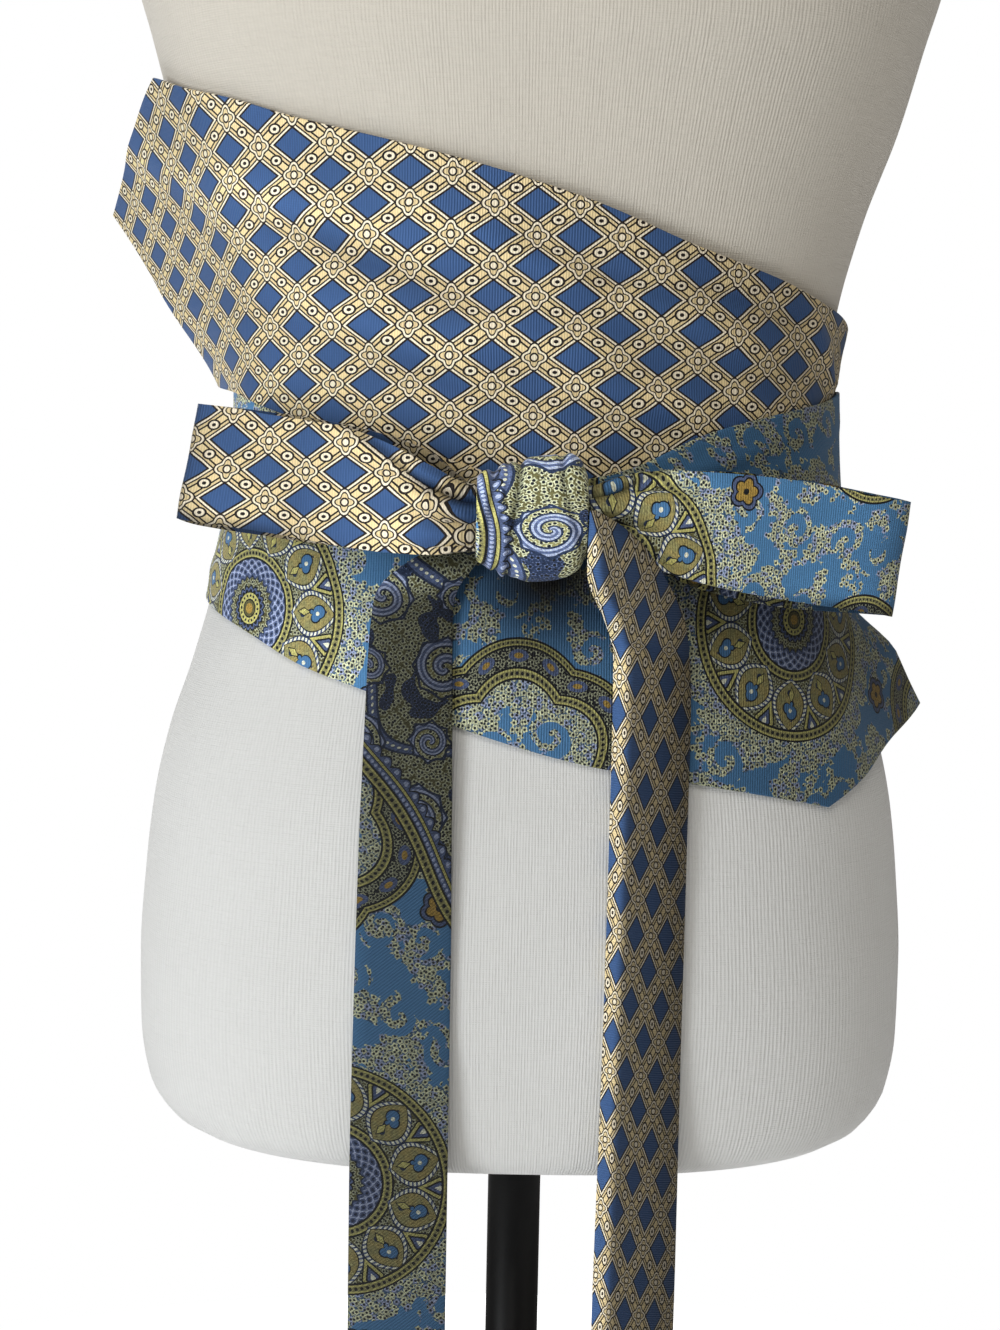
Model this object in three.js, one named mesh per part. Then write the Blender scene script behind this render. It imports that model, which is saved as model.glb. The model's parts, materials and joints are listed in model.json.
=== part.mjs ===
// Wrap obi belt made of two opened neckties, tied in a bow on a limbless dress form.
// Millimetres. +Z is up, +X is the viewer's right, the front faces -Y, and the floor is Z = 0.
// Each tie is one long band wound round the waist: a broad pointed blade across the front, a
// narrowing neck round the back, and a sash that comes to the knot and ends in a loop and a tail.
import * as THREE from "three";

// ---- Driving dimensions ------------------------------------------------------------------
const WAIST_HEIGHT = 1080; // waistline above the floor
const PANEL_THICKNESS = 1.6; // opened tie: silk over its interlining
const RIBBON_THICKNESS = 2.4; // folded tie, in the loops and tails
const INNER_LIFT = 1.2; // inner face of the first layer, off the form
const OVER_LIFT = 3.8; // inner face of the second layer
const OUTER_LIFT = 6.4; // inner face of the third layer
const SEAM = 0.35; // gap between neighbouring lengths of a tie
const FLARE_STARTS = 0.78; // share of a band's height up to which it lies flat, where it flares

const BASE_RADIUS = 206;
const BASE_THICKNESS = 10;
const BASE_RIM = 4; // upright edge of the base plate
const HUB_RADIUS = 21;
const HUB_HEIGHT = 42; // top of the hub above the floor
const POLE_RADIUS = 12.5;
const POLE_FIT = 0.35; // clearance round the pole in its sockets
const SOCKET_DEPTH = 70; // how far the pole goes up into the torso
const ROUND_SIDES = 48; // facets round the pole and the base
const FORM_SIDES = 56; // facets round the torso
const FORM_RING_STEP = 20; // tallest ring of the torso

const BLADE_COLUMNS = 44;
const NECK_COLUMNS = 36;
const SASH_COLUMNS = 20;
const BLADE_ROWS = 8;
const BAND_ROWS = 5;
const LOOP_COLUMNS = 34;
const TAIL_COLUMNS = 28;
const RIBBON_ROWS = 5;
const KNOT_SIDES = 26;
const KNOT_COLUMNS = 10;

// Heights in the tables are measured from the waistline.
const WAIST_HALF_WIDTH = 132;

// Torso: superellipse sections, deeper at the chest and the hips.
const FORM_SECTIONS = [
  { height: -312, halfWidth: 128, front: 83, back: 90, power: 2.6 },
  { height: -309, halfWidth: 150, front: 100, back: 108, power: 2.6 },
  { height: -302, halfWidth: 163, front: 107, back: 117, power: 2.6 },
  { height: -288, halfWidth: 171.5, front: 110, back: 121, power: 2.6 },
  { height: -265, halfWidth: 175, front: 112, back: 125, power: 2.6 },
  { height: -230, halfWidth: 175.5, front: 114, back: 126, power: 2.5 },
  { height: -190, halfWidth: 173, front: 113, back: 120, power: 2.4 },
  { height: -160, halfWidth: 169.5, front: 112, back: 114, power: 2.35 },
  { height: -130, halfWidth: 163, front: 109, back: 108, power: 2.3 },
  { height: -100, halfWidth: 153, front: 105, back: 100, power: 2.25 },
  { height: -60, halfWidth: 142, front: 99, back: 90, power: 2.2 },
  { height: -20, halfWidth: 134.5, front: 95, back: 82, power: 2.2 },
  { height: 20, halfWidth: WAIST_HALF_WIDTH, front: 94, back: 80, power: 2.2 },
  { height: 60, halfWidth: 137, front: 98, back: 82, power: 2.2 },
  { height: 100, halfWidth: 147, front: 105, back: 88, power: 2.2 },
  { height: 140, halfWidth: 161, front: 113, back: 94, power: 2.25 },
  { height: 175, halfWidth: 170.5, front: 120, back: 100, power: 2.3 },
  { height: 205, halfWidth: 179, front: 120, back: 104, power: 2.3 },
  { height: 250, halfWidth: 186, front: 113, back: 106, power: 2.3 },
  { height: 300, halfWidth: 184, front: 97, back: 102, power: 2.3 },
  { height: 340, halfWidth: 168, front: 78, back: 88, power: 2.2 },
  { height: 368, halfWidth: 128, front: 63, back: 72, power: 2.1 },
  { height: 388, halfWidth: 80, front: 53, back: 60, power: 2.05 },
  { height: 405, halfWidth: 58, front: 50, back: 54, power: 2 },
  { height: 440, halfWidth: 54, front: 49, back: 51, power: 2 },
  { height: 446, halfWidth: 51, front: 46, back: 48, power: 2 },
];

// Each tie's edges as it runs round the form. Turn is in degrees round from the front in the
// tie's own direction, so it passes 180 at the back and comes to the knot near 360.
const GOLD_RUN = [
  { turn: -104, top: 170, bottom: 44, lift: OVER_LIFT, flare: 0 },
  { turn: -90, top: 163, bottom: 25, lift: OVER_LIFT, flare: 0 },
  { turn: -76, top: 154, bottom: 21, lift: OVER_LIFT, flare: 0 },
  { turn: -68, top: 147, bottom: 17, lift: OVER_LIFT, flare: 0 },
  { turn: -58, top: 140, bottom: 11.5, lift: OVER_LIFT, flare: 0 },
  { turn: -45, top: 129.5, bottom: 3, lift: OVER_LIFT, flare: 0 },
  { turn: -27, top: 119, bottom: -10, lift: OVER_LIFT, flare: 0 },
  { turn: -8, top: 109, bottom: -22, lift: OVER_LIFT, flare: 0 },
  { turn: 13, top: 97, bottom: -33, lift: OVER_LIFT, flare: 0 },
  { turn: 34, top: 82, bottom: -42, lift: OVER_LIFT, flare: 0 },
  { turn: 52, top: 71.5, bottom: -48, lift: OVER_LIFT, flare: 0 },
  { turn: 70, top: 61, bottom: -51, lift: OVER_LIFT, flare: 0 },
  { turn: 92, top: 54, bottom: -50, lift: OVER_LIFT, flare: 3 },
  { turn: 110, top: 54, bottom: -43, lift: OVER_LIFT, flare: 9 },
  { turn: 132, top: 56, bottom: -27, lift: OVER_LIFT, flare: 2 },
  { turn: 155, top: 59, bottom: -10, lift: OVER_LIFT, flare: 0 },
  { turn: 180, top: 61, bottom: -3.6, lift: OVER_LIFT, flare: 0 },
  { turn: 215, top: 37, bottom: -10, lift: OVER_LIFT, flare: 0 },
  { turn: 255, top: 11, bottom: -28, lift: OVER_LIFT, flare: 0 },
  { turn: 275, top: 8.5, bottom: -29, lift: 4.8, flare: 0 },
  { turn: 300, top: 8, bottom: -31, lift: OUTER_LIFT, flare: 0 },
  { turn: 316, top: 6.6, bottom: -36, lift: OUTER_LIFT, flare: 0 },
  { turn: 325, top: 3.6, bottom: -40, lift: OUTER_LIFT, flare: 0 },
  { turn: 338, top: -4.5, bottom: -41, lift: OUTER_LIFT, flare: 0 },
  { turn: 352, top: -12, bottom: -42, lift: OUTER_LIFT, flare: 0 },
  { turn: 362, top: -15, bottom: -42, lift: OUTER_LIFT, flare: 0 },
];
const PAISLEY_RUN = [
  { turn: -92, top: -40, bottom: -198, lift: INNER_LIFT, flare: 0 },
  { turn: -75, top: -21, bottom: -166, lift: INNER_LIFT, flare: 0 },
  { turn: -56, top: -14, bottom: -149.5, lift: INNER_LIFT, flare: 0 },
  { turn: -34, top: -3, bottom: -138, lift: INNER_LIFT, flare: 0 },
  { turn: -11, top: 7, bottom: -129.5, lift: INNER_LIFT, flare: 0 },
  { turn: 16, top: 18, bottom: -115, lift: INNER_LIFT, flare: 0 },
  { turn: 30, top: 24, bottom: -105, lift: INNER_LIFT, flare: 0 },
  { turn: 47, top: 30, bottom: -94, lift: INNER_LIFT, flare: 0 },
  { turn: 59, top: 33, bottom: -83.5, lift: INNER_LIFT, flare: 0 },
  { turn: 67, top: 35, bottom: -78, lift: INNER_LIFT, flare: 0 },
  { turn: 80, top: 36, bottom: -72, lift: INNER_LIFT, flare: 0 },
  { turn: 100, top: 33, bottom: -66, lift: INNER_LIFT, flare: 0 },
  { turn: 140, top: 14, bottom: -62, lift: INNER_LIFT, flare: 0 },
  { turn: 172, top: -5, bottom: -60, lift: INNER_LIFT, flare: 0 },
  { turn: 188, top: -5, bottom: -58, lift: OUTER_LIFT, flare: 0 },
  { turn: 215, top: 8, bottom: -46, lift: OUTER_LIFT, flare: 0 },
  { turn: 255, top: 24, bottom: -31, lift: OUTER_LIFT, flare: 0 },
  { turn: 272, top: 27, bottom: -29, lift: OUTER_LIFT, flare: 0 },
  { turn: 291, top: 20.5, bottom: -31, lift: OUTER_LIFT, flare: 0 },
  { turn: 302, top: 16, bottom: -32, lift: OUTER_LIFT, flare: 0 },
  { turn: 320, top: 6.6, bottom: -36, lift: OUTER_LIFT, flare: 0 },
  { turn: 338, top: -9, bottom: -40, lift: OUTER_LIFT, flare: 0 },
  { turn: 350, top: -14, bottom: -42, lift: OUTER_LIFT, flare: 0 },
  { turn: 359, top: -15, bottom: -42, lift: OUTER_LIFT, flare: 0 },
];

// Blade ends: a square point that leaves the form along a tangent. Turns of the shoulders and
// of the tip, the way the free end faces, and the heights between which it comes free.
const GOLD_BLADE = {
  topShoulder: -76, tip: -102, bottomShoulder: -88,
  facing: 57, held: -10, free: 70,
};
const PAISLEY_BLADE = {
  topShoulder: -82, tip: -90, bottomShoulder: -58,
  facing: 54, held: -64, free: -92,
};

// Where each tie's lengths are joined by slanting seams, and where its sash meets the knot.
const NECK_SEAM = 100;
const SASH_SEAM = 262;
const SEAM_SLANT = 9; // how far the top of a seam leads its foot, in degrees
const GOLD_SASH_END = 361;
const PAISLEY_SASH_END = 358.4;

// Loops in plan, from inside the knot out along the rear layer, round the fold and back along
// the front layer. Lean is how far the lower edge lies outward of the upper one.
const LEFT_LOOP = [
  { x: 1.6, y: -116.6, top: -16.5, bottom: -41.5, lean: 0, thick: 6.6 },
  { x: -18, y: -116.4, top: -16, bottom: -42, lean: 0, thick: 6.2 },
  { x: -24, y: -115.4, top: -16.6, bottom: -42, lean: 0, thick: 4.2 },
  { x: -29, y: -113.4, top: -13, bottom: -43.4, lean: 0, thick: 3.4 },
  { x: -44, y: -108, top: -2, bottom: -43.2, lean: 0, thick: 2.4 },
  { x: -76, y: -98.5, top: 7, bottom: -42.5, lean: 1, thick: 2.4 },
  { x: -110, y: -86, top: 12, bottom: -39, lean: 4, thick: 2.4 },
  { x: -131, y: -78, top: 14, bottom: -36, lean: 8, thick: 2.4 },
  { x: -137, y: -80, top: 14.5, bottom: -34, lean: 9, thick: 2.4 },
  { x: -137.5, y: -86, top: 14.5, bottom: -33, lean: 9, thick: 2.4 },
  { x: -131, y: -91, top: 14, bottom: -34, lean: 8, thick: 2.4 },
  { x: -110, y: -100, top: 11, bottom: -36.5, lean: 4, thick: 2.4 },
  { x: -76, y: -113, top: 6, bottom: -41.5, lean: 1, thick: 2.4 },
  { x: -58, y: -118, top: 0, bottom: -43.5, lean: 0, thick: 2.4 },
  { x: -40, y: -122.5, top: -9, bottom: -44, lean: 0, thick: 3 },
  { x: -24, y: -126, top: -16, bottom: -42, lean: 0, thick: 5 },
  { x: -18, y: -126.2, top: -16, bottom: -42, lean: 0, thick: 6.2 },
  { x: 1.6, y: -126.2, top: -16.5, bottom: -41.5, lean: 0, thick: 6.6 },
];
const RIGHT_LOOP = [
  { x: 2.2, y: -116.6, top: -16.5, bottom: -41, lean: 0, thick: 6.6 },
  { x: 18, y: -116.4, top: -16, bottom: -40.5, lean: 0, thick: 6.2 },
  { x: 24, y: -115.4, top: -16.3, bottom: -40.5, lean: 0, thick: 4.4 },
  { x: 29, y: -113.4, top: -14, bottom: -41.5, lean: 0, thick: 3.6 },
  { x: 44, y: -108, top: -10, bottom: -47, lean: 0, thick: 2.4 },
  { x: 76, y: -97, top: -9, bottom: -59, lean: 0, thick: 2.4 },
  { x: 112, y: -81, top: -12, bottom: -66, lean: -2, thick: 2.4 },
  { x: 149, y: -64.5, top: -18, bottom: -69, lean: -5, thick: 2.4 },
  { x: 159.5, y: -64, top: -20, bottom: -69.5, lean: -6, thick: 2.4 },
  { x: 160.5, y: -70, top: -20.5, bottom: -69.5, lean: -6, thick: 2.4 },
  { x: 153, y: -76, top: -19.5, bottom: -68, lean: -5, thick: 2.4 },
  { x: 112, y: -95.5, top: -12.5, bottom: -62, lean: -2, thick: 2.4 },
  { x: 76, y: -112.5, top: -9.5, bottom: -55.5, lean: 0, thick: 2.4 },
  { x: 56, y: -118.5, top: -9, bottom: -50, lean: 0, thick: 2.4 },
  { x: 40, y: -122.5, top: -10.5, bottom: -45, lean: 0, thick: 3 },
  { x: 24, y: -126, top: -15.5, bottom: -40.6, lean: 0, thick: 5 },
  { x: 18, y: -126.2, top: -16, bottom: -40.5, lean: 0, thick: 6.2 },
  { x: 2.2, y: -126.2, top: -16.5, bottom: -41, lean: 0, thick: 6.6 },
];

// Knot: cloth wound round the necks of both loops, with two channels pressed into its left.
const KNOT_SECTIONS = [
  { x: -22, top: -12.6, bottom: -45.4, halfDepth: 12.1 },
  { x: -18, top: -9.5, bottom: -49.5, halfDepth: 13.2 },
  { x: -14.5, top: -9, bottom: -50, halfDepth: 12.9 },
  { x: -10.5, top: -6.5, bottom: -53, halfDepth: 14.3 },
  { x: -7, top: -6.5, bottom: -52.5, halfDepth: 13.7 },
  { x: -1, top: -4.5, bottom: -54, halfDepth: 14.6 },
  { x: 7, top: -3.5, bottom: -53.5, halfDepth: 14.8 },
  { x: 14, top: -2.5, bottom: -52, halfDepth: 14.6 },
  { x: 19, top: -5, bottom: -49, halfDepth: 13.4 },
  { x: 22, top: -11.5, bottom: -45.2, halfDepth: 12.1 },
];
const KNOT_CENTRE = { y: -121.4, height: -29 };
const KNOT_POWER = 2.4;
const KNOT_CORE = { halfDepth: 10.7, halfHeight: 15.2, power: 6 };

// Tails: edges down their length, how far they stand off the form behind them, how far
// forward they are held at least, and how far the left edge curls forward.
const LEFT_TAIL = [
  { height: -22, left: -20, right: -11, stand: 9.1, front: 0, curl: 0 },
  { height: -36, left: -44, right: -12, stand: 9.25, front: 0, curl: 0 },
  { height: -47, left: -59, right: -21, stand: 7.6, front: 0, curl: 1 },
  { height: -56, left: -62.5, right: -29, stand: 6, front: 0, curl: 6 },
  { height: -66, left: -64, right: -31.5, stand: 3.8, front: 0, curl: 5 },
  { height: -84, left: -65, right: -31.5, stand: 3.7, front: 0, curl: 2 },
  { height: -104, left: -65.5, right: -31, stand: 3.7, front: 0, curl: 0 },
  { height: -163, left: -67.5, right: -30, stand: 2.4, front: 0, curl: 0 },
  { height: -230, left: -69, right: -29.5, stand: 0.8, front: 0, curl: 0 },
  { height: -310, left: -70, right: -29.5, stand: 0.8, front: 0, curl: 0 },
  { height: -520, left: -70, right: -29.5, stand: 0.8, front: 0, curl: 0 },
];
const RIGHT_TAIL = [
  { height: -25, left: 22.8, right: 25, stand: 8, front: 130.6, curl: 0 },
  { height: -31, left: 22.8, right: 35, stand: 8, front: 130.6, curl: 0 },
  { height: -38, left: 22.8, right: 43.5, stand: 8, front: 130.2, curl: 0 },
  { height: -46, left: 22.8, right: 50, stand: 7, front: 127, curl: 0 },
  { height: -54, left: 24.5, right: 55, stand: 5.5, front: 121, curl: 0 },
  { height: -62, left: 28.5, right: 59.5, stand: 4, front: 113, curl: 0 },
  { height: -72, left: 33, right: 63, stand: 3.8, front: 107, curl: 0 },
  { height: -84, left: 36, right: 65, stand: 3.7, front: 100, curl: 0 },
  { height: -104, left: 36, right: 66, stand: 3.7, front: 90, curl: 0 },
  { height: -163, left: 35.5, right: 65.5, stand: 2.4, front: 0, curl: 0 },
  { height: -230, left: 35, right: 65.5, stand: 0.8, front: 0, curl: 0 },
  { height: -360, left: 33, right: 66, stand: 0.8, front: 0, curl: 0 },
  { height: -520, left: 32, right: 66, stand: 0.8, front: 0, curl: 0 },
];
const LEFT_TAIL_END = -485; // height of the shoulders of the pointed end
const RIGHT_TAIL_END = -470;
const TAIL_LEAVES = -290; // below this height nothing on the form reaches further forward

// ---- Numbers and tables ------------------------------------------------------------------
const radians = THREE.MathUtils.degToRad;
const { lerp, clamp, smoothstep } = THREE.MathUtils;

// Reads a table as smooth curves: each column runs through its rows without overshooting.
function readTable(table, key) {
  const rows = table.toSorted((a, b) => a[key] - b[key]);
  const columns = Object.keys(rows[0]).filter((name) => name !== key);
  const at = rows.map((row) => row[key]);
  const last = rows.length - 1;

  function slope(i, column) {
    const grade = (k) => (rows[k + 1][column] - rows[k][column]) / (at[k + 1] - at[k]);
    if (i === 0) return grade(0);
    if (i === last) return grade(last - 1);
    const before = grade(i - 1);
    const after = grade(i);
    return before * after <= 0 ? 0 : (2 * before * after) / (before + after);
  }

  return (value) => {
    const x = clamp(value, at[0], at[last]);
    let i = 0;
    while (i < last - 1 && x > at[i + 1]) i += 1;
    const span = at[i + 1] - at[i];
    const t = (x - at[i]) / span;
    const result = {};
    for (const column of columns) {
      const from = rows[i][column];
      const to = rows[i + 1][column];
      const leaving = slope(i, column) * span;
      const arriving = slope(i + 1, column) * span;
      const cubic = 2 * (from - to) + leaving + arriving;
      const square = 3 * (to - from) - 2 * leaving - arriving;
      result[column] = ((cubic * t + square) * t + leaving) * t + from;
    }
    return result;
  };
}

function superRadius(across, along, halfAcross, halfAlong, power) {
  const sum = Math.abs(across / halfAcross) ** power + Math.abs(along / halfAlong) ** power;
  return sum ** (-1 / power);
}

// ---- Closed bodies -----------------------------------------------------------------------
// Joins equal points, drops collapsed triangles and turns the body outward.
function closedGeometry(points, triangles) {
  const numbers = new Map();
  const kept = [];
  const index = points.map((p) => {
    const key = p.map((value) => value.toFixed(3)).join(" ");
    if (!numbers.has(key)) {
      numbers.set(key, kept.length);
      kept.push(p);
    }
    return numbers.get(key);
  });
  let volume = 0;
  const faces = [];
  for (const corners of triangles) {
    const [a, b, c] = corners.map((corner) => index[corner]);
    if (a === b || b === c || c === a) continue;
    faces.push([a, b, c]);
    const [p, q, r] = [kept[a], kept[b], kept[c]].map((v) => new THREE.Vector3(...v));
    volume += p.dot(q.cross(r));
  }
  const flat = faces.flatMap(([a, b, c]) => (volume < 0 ? [a, c, b] : [a, b, c]));
  const geometry = new THREE.BufferGeometry();
  geometry.setAttribute("position", new THREE.Float32BufferAttribute(kept.flat(), 3));
  geometry.setIndex(flat);
  geometry.computeVertexNormals();
  return geometry;
}

// A wall of cloth. pointAt(u, v, side) gives its inner face at side 0 and its outer at side 1.
function wallGeometry(columns, rows, pointAt) {
  const points = [];
  for (const side of [0, 1]) {
    for (let i = 0; i <= columns; i += 1) {
      for (let j = 0; j <= rows; j += 1) points.push(pointAt(i / columns, j / rows, side));
    }
  }
  const at = (side, i, j) => (side * (columns + 1) + i) * (rows + 1) + j;
  const triangles = [];
  const quad = (a, b, c, d) => triangles.push([a, b, c], [a, c, d]);
  for (let i = 0; i < columns; i += 1) {
    for (let j = 0; j < rows; j += 1) {
      quad(at(0, i, j), at(0, i + 1, j), at(0, i + 1, j + 1), at(0, i, j + 1));
      quad(at(1, i, j), at(1, i, j + 1), at(1, i + 1, j + 1), at(1, i + 1, j));
    }
    quad(at(0, i, 0), at(1, i, 0), at(1, i + 1, 0), at(0, i + 1, 0));
    quad(at(0, i, rows), at(0, i + 1, rows), at(1, i + 1, rows), at(1, i, rows));
  }
  for (let j = 0; j < rows; j += 1) {
    quad(at(0, 0, j), at(0, 0, j + 1), at(1, 0, j + 1), at(1, 0, j));
    quad(at(0, columns, j), at(1, columns, j), at(1, columns, j + 1), at(0, columns, j + 1));
  }
  return closedGeometry(points, triangles);
}

// A body of closed rings, each a list of points, from one end point to the other.
function ringGeometry(rings) {
  const points = rings.flat();
  const starts = [];
  let total = 0;
  for (const ring of rings) {
    starts.push(total);
    total += ring.length;
  }
  const triangles = [];
  for (let i = 0; i + 1 < rings.length; i += 1) {
    const sides = Math.max(rings[i].length, rings[i + 1].length);
    const lower = (k) => starts[i] + (k % rings[i].length);
    const upper = (k) => starts[i + 1] + (k % rings[i + 1].length);
    for (let k = 0; k < sides; k += 1) {
      if (rings[i].length > 1) triangles.push([lower(k), lower(k + 1), upper(k)]);
      if (rings[i + 1].length > 1) triangles.push([lower(k + 1), upper(k + 1), upper(k)]);
    }
  }
  return closedGeometry(points, triangles);
}

function circle(radius, height, sides) {
  return Array.from({ length: sides }, (_, k) => {
    const angle = (2 * Math.PI * k) / sides;
    return [radius * Math.sin(angle), -radius * Math.cos(angle), height];
  });
}

// ---- Dress form --------------------------------------------------------------------------
const formSection = readTable(FORM_SECTIONS, "height");

function formRadius(angle, height) {
  const { halfWidth, front, back, power } = formSection(height);
  const depth = Math.cos(angle) > 0 ? front : back;
  return superRadius(Math.sin(angle), Math.cos(angle), halfWidth, depth, power);
}

// How far the form's front reaches at a place across it.
function formReach(x, height) {
  const { halfWidth, front, power } = formSection(height);
  return front * (1 - Math.abs(x / halfWidth) ** power) ** (1 / power);
}

function formRing(height) {
  return Array.from({ length: FORM_SIDES }, (_, k) => {
    const angle = (2 * Math.PI * k) / FORM_SIDES;
    const radius = formRadius(angle, height);
    return [radius * Math.sin(angle), -radius * Math.cos(angle), WAIST_HEIGHT + height];
  });
}

function torsoGeometry() {
  const foot = FORM_SECTIONS[0].height;
  const socketTop = WAIST_HEIGHT + foot + SOCKET_DEPTH;
  const socket = POLE_RADIUS + POLE_FIT;
  const rings = [
    [[0, 0, socketTop]],
    circle(socket, socketTop, FORM_SIDES),
    circle(socket, WAIST_HEIGHT + foot, FORM_SIDES),
    formRing(foot),
  ];
  for (let i = 0; i + 1 < FORM_SECTIONS.length; i += 1) {
    const from = FORM_SECTIONS[i].height;
    const to = FORM_SECTIONS[i + 1].height;
    const steps = Math.ceil((to - from) / FORM_RING_STEP);
    for (let k = 1; k <= steps; k += 1) rings.push(formRing(lerp(from, to, k / steps)));
  }
  const top = FORM_SECTIONS.at(-1).height;
  rings.push([[0, 0, WAIST_HEIGHT + top]]);
  return ringGeometry(rings);
}

function poleGeometry() {
  const foot = BASE_THICKNESS + POLE_FIT;
  const top = WAIST_HEIGHT + FORM_SECTIONS[0].height + SOCKET_DEPTH - POLE_FIT;
  return ringGeometry([
    [[0, 0, foot]],
    circle(POLE_RADIUS, foot, ROUND_SIDES),
    circle(POLE_RADIUS, top, ROUND_SIDES),
    [[0, 0, top]],
  ]);
}

function baseGeometry() {
  const socket = POLE_RADIUS + POLE_FIT;
  const profile = [
    [BASE_RADIUS, 0],
    [BASE_RADIUS, BASE_RIM],
    [BASE_RADIUS - BASE_RIM, BASE_THICKNESS],
    [HUB_RADIUS + BASE_RIM, BASE_THICKNESS + BASE_RIM],
    [HUB_RADIUS, HUB_HEIGHT - BASE_RIM],
    [HUB_RADIUS - BASE_RIM, HUB_HEIGHT],
    [socket, HUB_HEIGHT],
    [socket, BASE_THICKNESS],
  ];
  return ringGeometry([
    [[0, 0, 0]],
    ...profile.map(([radius, height]) => circle(radius, height, ROUND_SIDES)),
    [[0, 0, BASE_THICKNESS]],
  ]);
}

// ---- Bands round the form ----------------------------------------------------------------
// Radius of a tie at an angle round the form, off its surface or off the tangent line along
// which a blade's free end leaves it.
function bandRadius(angle, height, blade) {
  const resting = formRadius(angle, height);
  const facing = radians(blade.facing);
  const { halfWidth, front, power } = formSection(height);
  const dual = power / (power - 1);
  const [nx, ny] = [Math.sin(facing), Math.cos(facing)];
  const support = ((halfWidth * nx) ** dual + (front * ny) ** dual) ** (1 / dual);
  const touchX = halfWidth * ((halfWidth * nx) / support) ** (dual - 1);
  const touchY = front * ((front * ny) / support) ** (dual - 1);
  const around = Math.abs(angle);
  if (around <= Math.atan2(touchX, touchY)) return resting;
  const straight = support / Math.cos(around - facing);
  const fromHeld = (height - blade.held) / (blade.free - blade.held);
  return lerp(resting, straight, smoothstep(fromHeld, 0, 1));
}

// A length of a tie between two turns. Direction is 1 for a tie that runs to the viewer's
// right across the front and -1 for one that runs to the left.
function bandPoint(run, direction, startTurn, endTurn, blade) {
  const edges = readTable(run, "turn");
  return (u, v, side) => {
    const turn = lerp(startTurn(v), endTurn(v), u);
    const { top, bottom, lift, flare } = edges(turn);
    const height = lerp(bottom, top, v);
    const angle = radians(turn * direction);
    const isFreeEnd = turn < 0;
    const radius = isFreeEnd
      ? bandRadius(radians(turn), height, blade)
      : formRadius(angle, height);
    const off = radius + lift + flare * smoothstep(v, FLARE_STARTS, 1) + side * PANEL_THICKNESS;
    return [off * Math.sin(angle), -off * Math.cos(angle), WAIST_HEIGHT + height];
  };
}

// Both edges of a blade's point are straight in the cloth, which lies along a tangent there.
function bladeStart({ topShoulder, tip, bottomShoulder, facing }) {
  const along = (turn) => Math.tan(radians(-turn - facing));
  const turnAt = (distance) => -facing - THREE.MathUtils.radToDeg(Math.atan(distance));
  return (v) => turnAt(v < 0.5
    ? lerp(along(bottomShoulder), along(tip), 2 * v)
    : lerp(along(tip), along(topShoulder), 2 * v - 1));
}

function slantedSeam(turn, gapSide) {
  const gap = THREE.MathUtils.radToDeg(SEAM / WAIST_HALF_WIDTH);
  return (v) => turn + gapSide * gap + SEAM_SLANT * (v - 0.5);
}

// ---- Loops, knot and tails ---------------------------------------------------------------
function loopPoint(rows) {
  let run = 0;
  const measured = rows.map((row, i) => {
    if (i > 0) run += Math.hypot(row.x - rows[i - 1].x, row.y - rows[i - 1].y);
    return { ...row, run };
  });
  const path = readTable(measured, "run");
  const step = 0.5; // short enough to give the direction at a point
  return (u, v, side) => {
    const here = path(u * run);
    const before = path(u * run - step);
    const after = path(u * run + step);
    const heading = new THREE.Vector2(after.x - before.x, after.y - before.y).normalize();
    const off = (side - 0.5) * here.thick;
    const outward = Math.sign(rows[rows.length >> 1].x);
    const x = here.x + heading.y * off + outward * here.lean * (1 - v);
    return [x, here.y - heading.x * off, WAIST_HEIGHT + lerp(here.bottom, here.top, v)];
  };
}

function knotGeometry() {
  const section = readTable(KNOT_SECTIONS, "x");
  const first = KNOT_SECTIONS[0].x;
  const last = KNOT_SECTIONS.at(-1).x;
  const ring = (x, radiusAt) => Array.from({ length: KNOT_SIDES }, (_, k) => {
    const angle = (2 * Math.PI * k) / KNOT_SIDES;
    const [up, back] = [Math.cos(angle), Math.sin(angle)];
    const radius = radiusAt(up, back);
    const height = KNOT_CENTRE.height + radius * up;
    return [x, KNOT_CENTRE.y + radius * back, WAIST_HEIGHT + height];
  });
  const outer = [];
  const inner = [];
  for (let i = 0; i <= KNOT_COLUMNS; i += 1) {
    const x = lerp(first, last, i / KNOT_COLUMNS);
    const { top, bottom, halfDepth } = section(x);
    outer.push(ring(x, (up, back) => {
      const rise = up > 0 ? top - KNOT_CENTRE.height : KNOT_CENTRE.height - bottom;
      return superRadius(up, back, rise, halfDepth, KNOT_POWER);
    }));
    inner.push(ring(x, (up, back) => superRadius(
      up, back, KNOT_CORE.halfHeight, KNOT_CORE.halfDepth, KNOT_CORE.power,
    )));
  }
  return ringGeometry([...outer, ...inner.reverse(), outer[0]]);
}

// A tail rests on the front of the form and hangs plumb below where that reaches furthest.
function tailPoint(rows, endHeight) {
  const shape = readTable(rows, "height");
  const start = rows[0].height;
  const { left, right } = shape(endHeight);
  const point = (right - left) / 2;
  const step = 5; // between the heights at which the form is felt
  return (u, v, side) => {
    const foot = endHeight - point * (1 - Math.abs(2 * v - 1));
    const height = lerp(start, foot, u);
    const row = shape(height);
    const x = lerp(row.left, row.right, v);
    const lowest = Math.max(height, TAIL_LEAVES);
    let reach = formReach(x, lowest);
    for (let above = start; above > lowest; above -= step) {
      reach = Math.max(reach, formReach(x, above));
    }
    const inner = Math.max(reach + row.stand, row.front) + row.curl * (1 - v) ** 3;
    return [x, -inner - side * RIBBON_THICKNESS, WAIST_HEIGHT + height];
  };
}

// ---- Assembly ----------------------------------------------------------------------------
const group = new THREE.Group();
group.name = "obi_belt_on_dress_form";

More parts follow.
